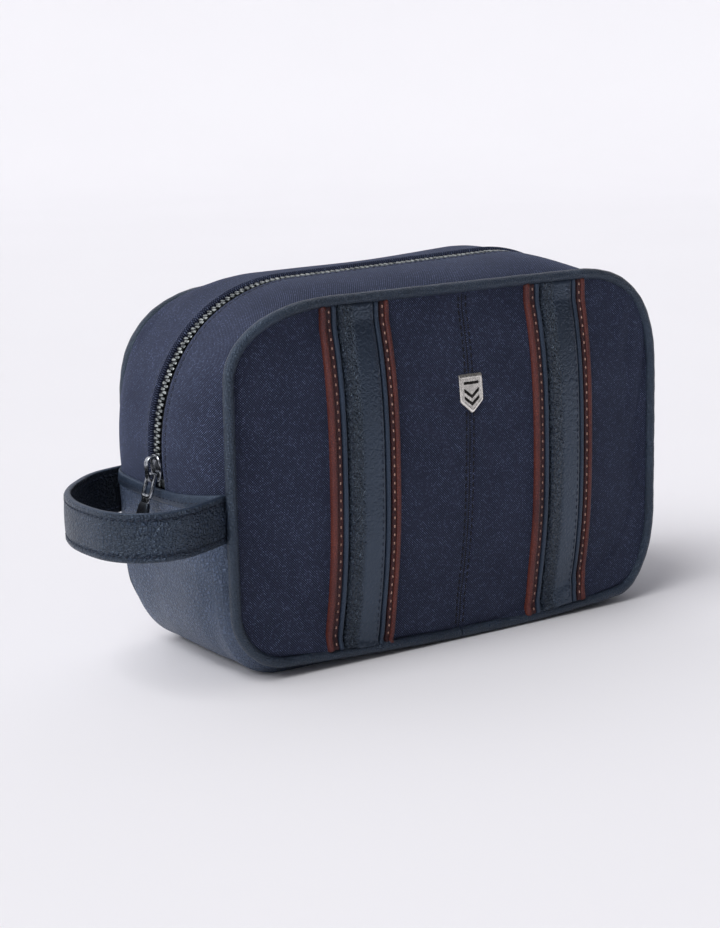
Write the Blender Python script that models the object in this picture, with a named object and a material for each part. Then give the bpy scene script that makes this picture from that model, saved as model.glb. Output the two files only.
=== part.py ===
"""A shaving kit bag: canvas front and back panels, a zip-round gusset over a leather base, and a wrist strap.

Row frame: X runs along the bag's width, the front panel faces -Y, +Z is up and the bag stands on z = 0.
Lengths are in millimetres; MM turns them into metres when an object is made.
"""
import math

import bmesh
import bpy
import numpy as np

MM = 0.001

# Driving dimensions
HALF_WIDTH = 119.6
RIM_LOW = 8.5
RIM_HIGH = 164.2
RIM_Y = 45.7
PIPING_RADIUS = 2.5
GAP = 0.3
# Each corner's reach along the width and the height, and how square it is (2 is an ellipse)
FRONT_CORNERS = {"top_left": (54.0, 31.0, 2.2), "top_right": (51.0, 53.0, 2.7),
                 "low_right": (20.0, 36.0, 2.0), "low_left": (25.0, 25.0, 2.0)}
BACK_CORNERS = {"top_left": (54.0, 50.0, 2.45), "top_right": (51.0, 53.0, 2.7),
                "low_right": (24.0, 34.0, 2.0), "low_left": (30.0, 30.0, 2.0)}
LOW_BOW = 5.3
SIDE_BOW = 0.8
BACK_TOP_RISE = 3.0
CENTRE_Z = 0.5 * (RIM_LOW + RIM_HIGH)

# The zip's middle line: an arc over each top corner and a nearly level run between them
ZIP_ARC_X = 56.3
ZIP_ARC_Z = 96.6
ZIP_ARC_RADIUS = 73.6
ZIP_RISE = 1.7
BASE_HALF_FLAT = 86.0
BASE_FLAT_SHARE = 1.4

GUSSET_HALF = RIM_Y - PIPING_RADIUS - GAP
CANVAS = 1.2
HEM_Z_EDGE = 85.0
HEM_SAG = 3.0

# Across the zip, measured from its middle line
TEETH_INNER = 0.7
TEETH_OUTER = 2.9
TAPE_INNER = TEETH_OUTER + GAP
CANVAS_INNER = 5.0
TAPE_OUTER = 12.0
FLAP_LEFT = -50.0
FLAP_RIGHT = 54.0
FLAP_GAP = 0.5
FLAP_HINGE_Y = 41.6
FLAP_HINGE_LIFT = -0.6

# The front panel and what is sewn on it
PANEL_INSET = PIPING_RADIUS + GAP
PANEL_HALF = HALF_WIDTH - PANEL_INSET
PANEL_CROWN = 10.0
SEAM_X = 2.0
GROUP_SPACING = 114.1
WIDE_TRIM_X = (-72.0, -66.2)
BAND_X = (-65.9, -43.3)
NARROW_TRIM_X = (-43.0, -38.6)
BAND_END_GAP = 1.2
STRIP_STEPS = 16
BADGE_Z = 118.0
BADGE_WIDTH = 12.6
BADGE_HEIGHT = 16.0

# Slider and puller
SLIDER_REST_ANGLE = 183.6
SLIDER_LENGTH = 12.0
SLIDER_WIDTH = 8.6
PIVOT_ALONG = -2.4
PIVOT_LIFT = 3.0
PULL_LEAN = 9.0

# Wrist strap
STRAP_WIDTH = 20.5
STRAP_Z = 75.0
STRAP_LAYER = 1.5
STRAP_PIVOT_X = -137.5
STRAP_PATH = [(-137.5, -49.6), (-148.0, -53.2), (-159.0, -53.0), (-169.0, -47.5), (-175.5, -37.0),
              (-177.3, -24.0), (-176.3, -9.0), (-171.5, 6.0), (-163.0, 18.5), (-152.5, 29.0),
              (-145.0, 34.8), (-137.5, 38.6)]
STRAP_ROOT_FRONT = (-124.2, -42.6)
STRAP_ROOT_BACK = (-124.2, 42.2)


def clear_scene():
    for scene_object in list(bpy.data.objects):
        bpy.data.objects.remove(scene_object, do_unlink=True)


def make_material(name, colour, roughness, metallic=0.0):
    material = bpy.data.materials.new(name)
    material.use_nodes = True
    shader = material.node_tree.nodes["Principled BSDF"]
    shader.inputs["Base Color"].default_value = (*colour, 1.0)
    shader.inputs["Roughness"].default_value = roughness
    shader.inputs["Metallic"].default_value = metallic
    material.diffuse_color = (*colour, 1.0)
    return material


def add_object(name, points, faces, look, origin=(0.0, 0.0, 0.0)):
    """Make one closed object; its vertices are stored about the origin, which is a joint's axis point."""
    centre = np.array(origin, float)
    mesh = bpy.data.meshes.new(name)
    mesh.from_pydata([tuple((np.array(p, float) - centre) * MM) for p in points], [], faces)
    work = bmesh.new()
    work.from_mesh(mesh)
    bmesh.ops.recalc_face_normals(work, faces=work.faces)
    work.to_mesh(mesh)
    work.free()
    made = bpy.data.objects.new(name, mesh)
    made.location = tuple(centre * MM)
    mesh.materials.append(make_material(name, *look))
    bpy.context.scene.collection.objects.link(made)
    return made


def add_sheet(name, outer, inner, look, origin=(0.0, 0.0, 0.0)):
    """A closed sheet between two grids of points of the same shape."""
    rows, columns = outer.shape[:2]
    points = list(outer.reshape(-1, 3)) + list(inner.reshape(-1, 3))
    shift = rows * columns

    def index(i, j):
        return i * columns + j

    faces = []
    for i in range(rows - 1):
        for j in range(columns - 1):
            quad = [index(i, j), index(i + 1, j), index(i + 1, j + 1), index(i, j + 1)]
            faces.append(quad)
            faces.append([shift + k for k in reversed(quad)])
    border = [index(i, 0) for i in range(rows)]
    border += [index(rows - 1, j) for j in range(1, columns)]
    border += [index(i, columns - 1) for i in range(rows - 2, -1, -1)]
    border += [index(0, j) for j in range(columns - 2, 0, -1)]
    for k, start in enumerate(border):
        end = border[(k + 1) % len(border)]
        faces.append([start, shift + start, shift + end, end])
    return add_object(name, points, faces, look, origin)


def add_sweep(name, rings, look, closed=False, origin=(0.0, 0.0, 0.0)):
    """A closed body swept through rings of points; an open sweep gets flat ends."""
    count = len(rings)
    size = len(rings[0])
    points = [p for ring in rings for p in ring]
    faces = []
    for i in range(count if closed else count - 1):
        after = (i + 1) % count
        for k in range(size):
            beside = (k + 1) % size
            faces.append([i * size + k, i * size + beside, after * size + beside, after * size + k])
    if not closed:
        faces.append(list(range(size - 1, -1, -1)))
        faces.append([(count - 1) * size + k for k in range(size)])
    return add_object(name, points, faces, look, origin)


# Outlines, all read by their angle about the bag's middle

def by_angle(points):
    """Sort a closed outline by angle in degrees about the bag's middle."""
    points = np.array(points)
    angles = np.degrees(np.arctan2(points[:, 1] - CENTRE_Z, points[:, 0])) % 360.0
    angles, first = np.unique(np.round(angles, 6), return_index=True)
    return angles, points[first]


def rim_outline(corners, top_rise):
    """The piping's middle line round one panel: a rounded rectangle whose low edge bows down."""
    half_height = 0.5 * (RIM_HIGH - RIM_LOW)
    order = [(1, 1, 0, "top_right"), (-1, 1, 90, "top_left"), (-1, -1, 180, "low_left"), (1, -1, 270, "low_right")]
    points = []
    for side, level, start, name in order:
        reach, rise, power = corners[name]
        for turn in range(0, 91, 3):
            angle = math.radians(start + turn)
            across = abs(math.cos(angle)) ** (2.0 / power)
            up = abs(math.sin(angle)) ** (2.0 / power)
            points.append((side * (HALF_WIDTH - reach + reach * across), level * (half_height - rise + rise * up)))
    points.append(points[0])
    dense = []
    for (x0, z0), (x1, z1) in zip(points[:-1], points[1:]):
        steps = max(1, int(math.hypot(x1 - x0, z1 - z0) / 2.0))
        for k in range(steps):
            dense.append((x0 + (x1 - x0) * k / steps, z0 + (z1 - z0) * k / steps))
    bowed = []
    for x, z in dense:
        across = x / HALF_WIDTH
        up = z / half_height
        drop = LOW_BOW * max(0.0, 1.0 - across * across) * (1.0 + 0.5 * across) * abs(up) ** 3 if z < 0 else 0.0
        rise = top_rise * across * abs(up) ** 3 if z > 0 else 0.0
        spread = math.copysign(SIDE_BOW, x) * max(0.0, 1.0 - up * up) * abs(across) ** 3
        bowed.append((x + spread, z - drop + rise + CENTRE_Z))
    return by_angle(bowed)


def bezier(p0, p1, p2, p3, steps):
    shares = np.linspace(0.0, 1.0, steps)[:, None]
    ends = [np.array(p, float) for p in (p0, p1, p2, p3)]
    rest = 1.0 - shares
    return (rest ** 3 * ends[0] + 3 * rest ** 2 * shares * ends[1]
            + 3 * rest * shares ** 2 * ends[2] + shares ** 3 * ends[3])


def spine_outline():
    """The gusset's middle line, which the zip follows over the top."""
    points = []
    for angle in np.linspace(188.3, 90.0, 70):
        turn = math.radians(angle)
        points.append((-ZIP_ARC_X + ZIP_ARC_RADIUS * math.cos(turn), ZIP_ARC_Z + ZIP_ARC_RADIUS * math.sin(turn)))
    for angle in np.linspace(90.0, -8.3, 70):
        turn = math.radians(angle)
        points.append((ZIP_ARC_X + ZIP_ARC_RADIUS * math.cos(turn),
                       ZIP_ARC_Z + ZIP_RISE + ZIP_ARC_RADIUS * math.sin(turn)))
    points += [tuple(p) for p in bezier((129.1, 87.7), (126, 28), (120, 0), (BASE_HALF_FLAT, 0), 60)[1:]]
    points += [(x, 0.0) for x in np.linspace(BASE_HALF_FLAT, -BASE_HALF_FLAT, 60)[1:-1]]
    points += [tuple(p) for p in bezier((-BASE_HALF_FLAT, 0), (-120, 0), (-126, 28), (-129.1, 86), 60)[:-1]]
    return by_angle(points)


FRONT_RIM = rim_outline(FRONT_CORNERS, 0.0)
BACK_RIM = rim_outline(BACK_CORNERS, BACK_TOP_RISE)
SPINE = spine_outline()


def on_outline(outline, angle):
    angles, points = outline
    return np.array([np.interp(angle, angles, points[:, 0], period=360.0),
                     np.interp(angle, angles, points[:, 1], period=360.0)])


def slice_point(angle, y):
    """The gusset's outer surface at one depth, as (x, z)."""
    share = 0.5 * (y / GUSSET_HALF + 1.0)
    front = on_outline(FRONT_RIM, angle)
    back = on_outline(BACK_RIM, angle)
    edge = front + (back - front) * share
    middle = 0.5 * (front + back)
    flatten = BASE_FLAT_SHARE * min(1.0, max(0.0, -math.sin(math.radians(angle)) * 2.2))
    swell = min(1.0, (1.0 - (y / GUSSET_HALF) ** 2) * (1.0 + flatten))
    point = edge + (on_outline(SPINE, angle) - middle) * swell
    if swell >= 1.0:
        point = on_outline(SPINE, angle)
    return point


def normal_at(angle, y):
    step = slice_point(angle + 0.6, y) - slice_point(angle - 0.6, y)
    outward = np.array([step[1], -step[0]])
    return outward / np.linalg.norm(outward)


def gusset_point(angle, y, lift):
    x, z = slice_point(angle, y) + normal_at(angle, y) * lift
    return (x, y, z)


def stations(start, stop, count):
    """Angles from start to stop, spaced by length and closer together round the corners."""
    angles = np.linspace(start, stop, 240)
    points = np.array([on_outline(FRONT_RIM, a) for a in angles])
    steps = np.diff(points, axis=0)
    lengths = np.linalg.norm(steps, axis=1)
    headings = np.unwrap(np.arctan2(steps[:, 1], steps[:, 0]))
    turns = np.abs(np.diff(headings, prepend=headings[0]))
    total = np.concatenate([[0.0], np.cumsum(lengths + 26.0 * turns)])
    return np.interp(np.linspace(0.0, total[-1], count), total, angles)


def angle_where(y, axis, value, low, high):
    """The angle between low and high at which the gusset reaches an x (axis 0) or a height (axis 1)."""
    rising = slice_point(high, y)[axis] > slice_point(low, y)[axis]
    for _ in range(40):
        middle = 0.5 * (low + high)
        if (slice_point(middle, y)[axis] < value) == rising:
            low = middle
        else:
            high = middle
    return 0.5 * (low + high)


def hem_height(y, above):
    return HEM_Z_EDGE - HEM_SAG * (1.0 - (y / GUSSET_HALF) ** 2) + above


def left_hem(y, above):
    return angle_where(y, 1, hem_height(y, above), 150.0, 215.0)


def right_hem(y, above):
    return angle_where(y, 1, hem_height(y, above), -35.0, 30.0)


def top_angle(y, x):
    return angle_where(y, 0, x, 50.0, 135.0)


def gusset_grid(depths, start, stop, count, lift):
    """Points over the gusset from start(y) to stop(y) at each depth."""
    grid = np.zeros((count, len(depths), 3))
    for j, y in enumerate(depths):
        for i, angle in enumerate(stations(start(y), stop(y), count)):
            grid[i, j] = gusset_point(angle, y, lift)
    return grid


def add_gusset_sheet(name, depths, start, stop, count, lifts, look, origin=(0.0, 0.0, 0.0)):
    outer = gusset_grid(depths, start, stop, count, lifts[0])
    inner = gusset_grid(depths, start, stop, count, lifts[1])
    return add_sheet(name, outer, inner, look, origin)


# Panels

def panel_edge(rim, x, inset):
    """Low and high edge of a panel at x, inset from its piping's middle line."""
    points = rim[1]
    inner = []
    for k in range(0, len(points), 2):
        step = points[(k + 3) % len(points)] - points[k - 3]
        outward = np.array([step[1], -step[0]])
        inner.append(points[k] - inset * outward / np.linalg.norm(outward))
    inner = np.array(inner)
    upper = inner[inner[:, 1] > CENTRE_Z]
    lower = inner[inner[:, 1] < CENTRE_Z]
    upper = upper[np.argsort(upper[:, 0])]
    lower = lower[np.argsort(lower[:, 0])]
    low = np.interp(x, lower[:, 0], lower[:, 1])
    high = np.interp(x, upper[:, 0], upper[:, 1])
    return low, high


def crown(x, z):
    """How far a panel swells out at a point."""
    across = min(1.0, abs(x) / PANEL_HALF)
    up = min(1.0, abs(z - CENTRE_Z) / (0.5 * (RIM_HIGH - RIM_LOW) - PANEL_INSET + 2.0))
    return PANEL_CROWN * (1.0 - across ** 4) * (1.0 - up ** 2.6)


def panel_grid(rim, side, columns, rows, inset, lift):
    """Points on a panel; side is -1 for the front and +1 for the back, lift is outward."""
    grid = np.zeros((len(columns), rows, 3))
    for i, x in enumerate(columns):
        low, high = panel_edge(rim, x, inset)
        for j in range(rows):
            share = 0.5 - 0.5 * math.cos(math.pi * j / (rows - 1))
            share = 0.5 * share + 0.5 * j / (rows - 1)
            z = low + (high - low) * share
            grid[i, j] = (x, side * (RIM_Y + crown(x, z) + lift), z)
    return grid


def add_panel(name, rim, side, columns, rows, inset, lifts, look):
    outer = panel_grid(rim, side, columns, rows, inset, lifts[0])
    inner = panel_grid(rim, side, columns, rows, inset, lifts[1])
    return add_sheet(name, outer, inner, look)


def add_strip(name, x_low, x_high, profile, look, end_gap=BAND_END_GAP):
    """A strip sewn down the front panel; profile lists (share across, lift) round its section."""
    low, high = panel_edge(FRONT_RIM, 0.5 * (x_low + x_high), PANEL_INSET + end_gap)
    rings = []
    for j in range(STRIP_STEPS + 1):
        z = low + (high - low) * j / STRIP_STEPS
        ring = []
        for share, lift in profile:
            x = x_low + (x_high - x_low) * share
            ring.append((x, -(RIM_Y + crown(x, z) + lift), z))
        rings.append(ring)
    return add_sweep(name, rings, look)


CANVAS_LOOK = ((0.020, 0.026, 0.055), 0.85)
LEATHER_LOOK = ((0.035, 0.045, 0.065), 0.45)
BROWN_LOOK = ((0.13, 0.035, 0.02), 0.45)
TAPE_LOOK = ((0.008, 0.009, 0.012), 0.9)
METAL_LOOK = ((0.25, 0.25, 0.26), 0.3, 1.0)
SILVER_LOOK = ((0.6, 0.58, 0.55), 0.2, 1.0)
LINING_LOOK = ((0.02, 0.02, 0.024), 0.9)
TAB_LOOK = ((0.01, 0.01, 0.012), 0.35)
THREAD_LOOK = ((0.02, 0.025, 0.045), 0.8)
BOARD_LOOK = ((0.03, 0.03, 0.03), 0.8)


def build_panels():
    half = [3.0, 30.0, 60.0, 84.0, 98.0, 108.0, 114.0, 116.4, PANEL_HALF + 0.9]
    left = [-x for x in reversed(half[1:])] + [SEAM_X - 0.2]
    right = [SEAM_X + 0.2] + half[1:]
    add_panel("front_panel_left", FRONT_RIM, -1, left, 9, PANEL_INSET, (0.0, -CANVAS), CANVAS_LOOK)
    add_panel("front_panel_right", FRONT_RIM, -1, right, 9, PANEL_INSET, (0.0, -CANVAS), CANVAS_LOOK)
    whole = [-x for x in reversed(half[1:])] + [0.0] + half[1:]
    add_panel("back_panel", BACK_RIM, 1, whole, 9, PANEL_INSET, (0.0, -CANVAS), CANVAS_LOOK)
    lining = [-108.0, -104.0, -92.0, -62.0, 0.0, 62.0, 92.0, 104.0, 108.0]
    add_panel("lining_front", FRONT_RIM, -1, lining, 7, 9.0, (-3.9, -4.4), LINING_LOOK)
    add_panel("lining_back", BACK_RIM, 1, lining, 7, 9.0, (-3.9, -4.4), LINING_LOOK)


def build_front_strips():
    round_section = [(0.0, 0.5), (0.0, 1.0), (0.2, 1.9), (0.5, 2.3), (0.8, 1.9), (1.0, 1.0), (1.0, 0.5)]
    band_section = [(0.0, 0.5), (0.0, 1.6), (0.1, 2.0), (0.16, 1.6), (0.84, 1.6), (0.9, 2.0), (1.0, 1.6), (1.0, 0.5)]
    for side, offset in (("left", 0.0), ("right", GROUP_SPACING)):
        add_strip(f"wide_trim_{side}", WIDE_TRIM_X[0] + offset, WIDE_TRIM_X[1] + offset, round_section, BROWN_LOOK)
        add_strip(f"band_{side}", BAND_X[0] + offset, BAND_X[1] + offset, band_section, LEATHER_LOOK)
        add_strip(f"narrow_trim_{side}", NARROW_TRIM_X[0] + offset, NARROW_TRIM_X[1] + offset,
                  round_section, BROWN_LOOK)
    tape_section = [(0.0, -2.0), (0.0, -CANVAS - GAP), (1.0, -CANVAS - GAP), (1.0, -2.0)]
    add_strip("centre_seam_tape", SEAM_X - 5.0, SEAM_X + 5.0, tape_section, THREAD_LOOK, 5.6)


def build_piping():
    """Piping round each panel; its two ends meet at the middle of the low edge."""
    for name, rim, y in (("front_piping", FRONT_RIM, -RIM_Y), ("back_piping", BACK_RIM, RIM_Y)):
        rings = []
        for angle in stations(-89.0 + 0.1, 271.0 - 0.1, 66):
            middle = on_outline(rim, angle)
            step = on_outline(rim, angle + 0.7) - on_outline(rim, angle - 0.7)
            outward = np.array([step[1], -step[0]]) / np.linalg.norm(step)
            ring = []
            for k in range(8):
                turn = math.radians(22.5 + 45.0 * k)
                x, z = middle + outward * PIPING_RADIUS * math.cos(turn)
                ring.append((x, y + PIPING_RADIUS * math.sin(turn), z))
            rings.append(ring)
        add_sweep(name, rings, LEATHER_LOOK)


def build_bindings():
    """Ribbon binding over the two inner seams."""
    for name, rim, side in (("front_binding", FRONT_RIM, -1), ("back_binding", BACK_RIM, 1)):
        rings = []
        for angle in stations(-89.0, 270.0, 46)[:-1]:
            middle = on_outline(rim, angle)
            step = on_outline(rim, angle + 0.7) - on_outline(rim, angle - 0.7)
            outward = np.array([step[1], -step[0]]) / np.linalg.norm(step)
            ring = []
            for lift, depth in ((-4.0, 1.6), (-4.0, 2.6), (-8.0, 2.6), (-8.0, 1.6)):
                x, z = middle + outward * lift
                ring.append((x, side * (RIM_Y - depth), z))
            rings.append(ring)
        add_sweep(name, rings, TAPE_LOOK)


def build_gusset():
    """Canvas, tape and teeth of both halves: two fixed corners and a top flap in each."""
    for half, side in (("front", -1), ("back", 1)):
        canvas = [side * y for y in (GUSSET_HALF, 36.0, 26.0, 15.0, CANVAS_INNER)]
        flap_canvas = [side * y for y in (FLAP_HINGE_Y, 36.0, 26.0, 15.0, CANVAS_INNER)]
        tape = [side * y for y in (TAPE_OUTER, TAPE_INNER)]
        teeth = [side * y for y in (TEETH_OUTER, TEETH_INNER)]
        edge_z = slice_point(90.0, side * FLAP_HINGE_Y)[1] + FLAP_HINGE_LIFT
        hinge = (0.0, side * FLAP_HINGE_Y, edge_z)
        rows = [("gusset", canvas, flap_canvas, (0.0, -CANVAS), CANVAS_LOOK, 14, 7),
                ("tape", tape, tape, (-CANVAS - 0.4, -CANVAS - 1.2), TAPE_LOOK, 14, 7),
                ("teeth", teeth, teeth, (-0.5, -2.9), METAL_LOOK, 16, 7)]
        for kind, depths, flap_depths, lifts, look, count, flap_count in rows:
            clear = 5.2 if kind == "teeth" else GAP
            add_gusset_sheet(f"{half}_{kind}_left", depths, lambda y: left_hem(y, clear),
                             lambda y: top_angle(y, FLAP_LEFT - FLAP_GAP), count, lifts, look)
            add_gusset_sheet(f"{half}_{kind}_right", depths, lambda y: top_angle(y, FLAP_RIGHT + FLAP_GAP),
                             lambda y: right_hem(y, clear), count, lifts, look)
            add_gusset_sheet(f"{half}_{kind}_flap", flap_depths, lambda y: top_angle(y, FLAP_LEFT),
                             lambda y: top_angle(y, FLAP_RIGHT), flap_count, lifts, look, hinge)


def build_stops():
    """Two small stops at the zip's closed end and one box stop at the other."""
    for name, depths, hem in (("front_top_stop", (-TEETH_OUTER, -TEETH_INNER), left_hem),
                              ("back_top_stop", (TEETH_INNER, TEETH_OUTER), left_hem),
                              ("bottom_stop", (-TEETH_OUTER, TEETH_OUTER), right_hem)):
        add_gusset_sheet(name, depths, lambda y: hem(y, 0.6), lambda y: hem(y, 4.6), 2, (-0.4, -3.0), METAL_LOOK)


def build_base():
    """The leather that wraps the lower sides and the base, with a stiffener and lining inside it."""
    depths = [-GUSSET_HALF, -37.0, -31.0, -16.0, 0.0, 16.0, 31.0, 37.0, GUSSET_HALF]
    add_gusset_sheet("base_leather", depths, lambda y: left_hem(y, -GAP), lambda y: right_hem(y, -GAP) + 360.0,
                     34, (0.0, -1.6), LEATHER_LOOK)
    for name, finder in (("left_hem_fold", left_hem), ("right_hem_fold", right_hem)):
        outer = np.zeros((2, len(depths), 3))
        inner = np.zeros((2, len(depths), 3))
        for j, y in enumerate(depths):
            for i, below in enumerate((-GAP, -9.5)):
                angle = finder(y, below)
                outer[i, j] = gusset_point(angle, y, 1.6)
                inner[i, j] = gusset_point(angle, y, 0.4)
        add_sheet(name, outer, inner, LEATHER_LOOK)
    inside = [-38.0, -24.0, 0.0, 24.0, 38.0]
    add_gusset_sheet("lining_base", inside, lambda y: left_hem(y, -12.0), lambda y: right_hem(y, -12.0) + 360.0,
                     24, (-4.6, -5.1), LINING_LOOK)
    board = []
    for x in (-80.0, 80.0):
        board.append([(x, -30.0, 2.0), (x, 30.0, 2.0), (x, 30.0, 3.4), (x, -30.0, 3.4)])
    add_sweep("base_board", board, BOARD_LOOK)


def zip_frame(along, lift):
    """A point and its (along, out) directions on the left zip arc, measured from the slider's middle."""
    turn = math.radians(SLIDER_REST_ANGLE)
    out = np.array([math.cos(turn), math.sin(turn)])
    up = np.array([out[1], -out[0]])
    if up[1] < 0:
        up = -up
    middle = np.array([-ZIP_ARC_X, ZIP_ARC_Z]) + out * ZIP_ARC_RADIUS
    return middle + up * along + out * lift


def zip_point(along, y, lift):
    x, z = zip_frame(along, lift)
    return (x, y, z)


def box_ring(along, half_width, low, high):
    return [zip_point(along, -half_width, low), zip_point(along, half_width, low),
            zip_point(along, half_width, high), zip_point(along, -half_width, high)]


def build_slider():
    """Slider body as one section swept along the chain, its top and back plates joined by the wedge."""
    centre = (-ZIP_ARC_X, 0.0, ZIP_ARC_Z)
    wide = 0.5 * SLIDER_WIDTH
    neck = TEETH_INNER - GAP
    top = (-0.1, 1.3)
    back = (-3.6, -4.7)
    flange = -1.1
    rings = []
    for along, worn in ((-0.5 * SLIDER_LENGTH, 0.4), (-4.8, 0.0), (4.8, 0.0), (0.5 * SLIDER_LENGTH, 0.4)):
        high = top[1] - worn
        low = back[1] + worn
        section = [(-wide, low), (wide, low), (wide, back[0]), (neck, back[0]), (neck, top[0]),
                   (wide - 0.7, top[0]), (wide - 0.7, flange), (wide, flange), (wide, high),
                   (-wide, high), (-wide, flange), (0.7 - wide, flange), (0.7 - wide, top[0]),
                   (-neck, top[0]), (-neck, back[0]), (-wide, back[0])]
        rings.append([zip_point(along, y, lift) for y, lift in section])
    add_sweep("slider_body", rings, METAL_LOOK, origin=centre)
    half = 0.9
    arch = [(-5.2, 1.45), (-5.2, 4.3), (-3.9, 5.7), (3.2, 5.7), (4.6, 4.4), (4.6, 1.45),
            (3.3, 1.45), (3.2, 3.6), (2.6, 4.4), (-3.3, 4.4), (-3.9, 3.6), (-3.9, 1.45)]
    sides = [[zip_point(along, y, lift) for along, lift in arch] for y in (-half, half)]
    add_sweep("slider_crown", sides, METAL_LOOK, origin=centre)


def pull_point(down, y, out):
    """A point of the puller, measured down its length from the pivot."""
    x, z = zip_frame(PIVOT_ALONG, PIVOT_LIFT)
    lean = math.radians(PULL_LEAN)
    return (x - down * math.sin(lean) - out * math.cos(lean), y, z - down * math.cos(lean) + out * math.sin(lean))


def build_puller():
    """A metal link with a window that the slider's crown passes through, and a dark tab below it."""
    pivot = (pull_point(0.0, 0.0, 0.0)[0], 0.0, pull_point(0.0, 0.0, 0.0)[2])
    outer = [(-0.7, -2.6), (-0.7, 2.6), (1.2, 3.5), (9.5, 3.5), (13.2, 2.9), (13.2, -2.9), (9.5, -3.5), (1.2, -3.5)]
    inner = [(0.7, -1.6), (0.7, 1.6), (1.6, 1.7), (8.3, 1.7), (8.3, 0.9), (8.3, -0.9), (8.3, -1.7), (1.6, -1.7)]
    points = []
    for loop in (outer, inner):
        for thickness in (-0.7, 0.7):
            points += [pull_point(down, y, thickness) for down, y in loop]
    count = len(outer)
    faces = []
    for k in range(count):
        after = (k + 1) % count
        faces.append([k, after, count + after, count + k])
        faces.append([2 * count + k, 3 * count + k, 3 * count + after, 2 * count + after])
        faces.append([k, 2 * count + k, 2 * count + after, after])
        faces.append([count + k, count + after, 3 * count + after, 3 * count + k])
    add_object("pull_link", points, faces, METAL_LOOK, pivot)
    rings = []
    for down, half, thick in ((13.5, 3.3, 0.9), (16.0, 4.3, 1.2), (33.0, 4.3, 1.2), (36.0, 3.4, 1.0)):
        rings.append([pull_point(down, -half, -thick), pull_point(down, half, -thick),
                      pull_point(down, half, thick), pull_point(down, -half, thick)])
    add_sweep("pull_tab", rings, TAB_LOOK, origin=pivot)


def strap_middle():
    """Dense points of the strap's middle line with outward normals, seen from above."""
    path = np.array(STRAP_PATH)
    shares = np.linspace(0.0, len(path) - 1.0, 23)
    points = []
    for share in shares:
        k = min(int(share), len(path) - 2)
        u = share - k
        before = path[max(k - 1, 0)]
        after = path[min(k + 2, len(path) - 1)]
        a, b = path[k], path[k + 1]
        points.append(0.5 * (2 * a + (b - before) * u + (2 * before - 5 * a + 4 * b - after) * u * u
                             + (3 * a - before - 3 * b + after) * u ** 3))
    points = np.array(points)
    steps = np.gradient(points, axis=0)
    normals = np.stack([steps[:, 1], -steps[:, 0]], axis=1)
    normals /= -np.linalg.norm(normals, axis=1)[:, None]
    return points, -normals


def strap_layer(name, near, far, look):
    """One layer of the moving loop; both ends are rounded about the joint's axis."""
    points, normals = strap_middle()
    half = 0.5 * STRAP_WIDTH
    front_step = (points[1] - points[0]) / np.linalg.norm(points[1] - points[0])
    back_step = (points[-1] - points[-2]) / np.linalg.norm(points[-1] - points[-2])
    columns = []
    for turn in (80.0, 55.0, 30.0):
        reach = half * math.sin(math.radians(turn))
        shift = reach / abs(front_step[0])
        columns.append((points[0] - front_step * shift, normals[0], half * math.cos(math.radians(turn))))
    columns += [(p, n, half) for p, n in zip(points, normals)]
    for turn in (30.0, 55.0, 80.0):
        reach = half * math.sin(math.radians(turn))
        shift = reach / abs(back_step[0])
        columns.append((points[-1] + back_step * shift, normals[-1], half * math.cos(math.radians(turn))))
    rings = []
    for point, normal, reach in columns:
        a = point + normal * near
        b = point + normal * far
        rings.append([(a[0], a[1], STRAP_Z - reach), (b[0], b[1], STRAP_Z - reach),
                      (b[0], b[1], STRAP_Z + reach), (a[0], a[1], STRAP_Z + reach)])
    add_sweep(name, rings, look, origin=(STRAP_PIVOT_X, 0.0, STRAP_Z))


def build_strap():
    strap_layer("strap_outer", 0.1, STRAP_LAYER, LEATHER_LOOK)
    strap_layer("strap_inner", -STRAP_LAYER, -0.2, LEATHER_LOOK)
    clearance = 0.5 * STRAP_WIDTH + 1.4
    half = 0.5 * STRAP_WIDTH
    for name, root, end, side in (("strap_root_front", STRAP_ROOT_FRONT, STRAP_PATH[0], -1),
                                  ("strap_root_back", STRAP_ROOT_BACK, STRAP_PATH[-1], 1)):
        slope = (root[1] - end[1]) / (root[0] - end[0])
        edge = []
        for turn in (-60.0, -40.0, -20.0, 0.0, 18.0, 34.0):
            angle = math.radians(turn)
            edge.append((STRAP_PIVOT_X + clearance * math.cos(angle), STRAP_Z + clearance * math.sin(angle)))
        rings = []
        for k, (x, z) in enumerate(edge):
            root_z = STRAP_Z - half + STRAP_WIDTH * k / (len(edge) - 1)
            ring = []
            for px, pz, thick in ((x, z, -1.3), (x, z, 1.3), (root[0], root_z, 1.3), (root[0], root_z, -1.3)):
                ring.append((px, root[1] + slope * (px - root[0]) + thick, pz))
            rings.append(ring)
        add_sweep(name, rings, LEATHER_LOOK)


def build_badge():
    """A plain shield plate with a raised rim line, and the washer that holds it inside the panel."""
    half = 0.5 * BADGE_WIDTH
    up = 0.5 * BADGE_HEIGHT
    shape = [(-half, up), (half, up), (half, -0.45 * up), (0.0, -up), (-half, -0.45 * up)]
    seat = RIM_Y + crown(SEAM_X, BADGE_Z - up) + GAP
    rings = []
    for shrink, depth in ((1.0, 0.0), (1.0, 1.0), (0.9, 1.5)):
        rings.append([(SEAM_X + x * shrink, -(seat + depth), BADGE_Z + z * shrink) for x, z in shape])
    add_sweep("badge", rings, SILVER_LOOK)
    inside = RIM_Y + crown(SEAM_X, BADGE_Z) - 3.4
    washer = []
    for depth in (0.0, 0.8):
        washer.append([(SEAM_X + 5.0 * math.cos(k * math.pi / 4), -(inside + depth),
                        BADGE_Z + 5.0 * math.sin(k * math.pi / 4)) for k in range(8)])
    add_sweep("badge_washer", washer, METAL_LOOK)


def main():
    clear_scene()
    build_panels()
    build_front_strips()
    build_piping()
    build_bindings()
    build_gusset()
    build_stops()
    build_base()
    build_slider()
    build_puller()
    build_strap()
    build_badge()


main()
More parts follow.
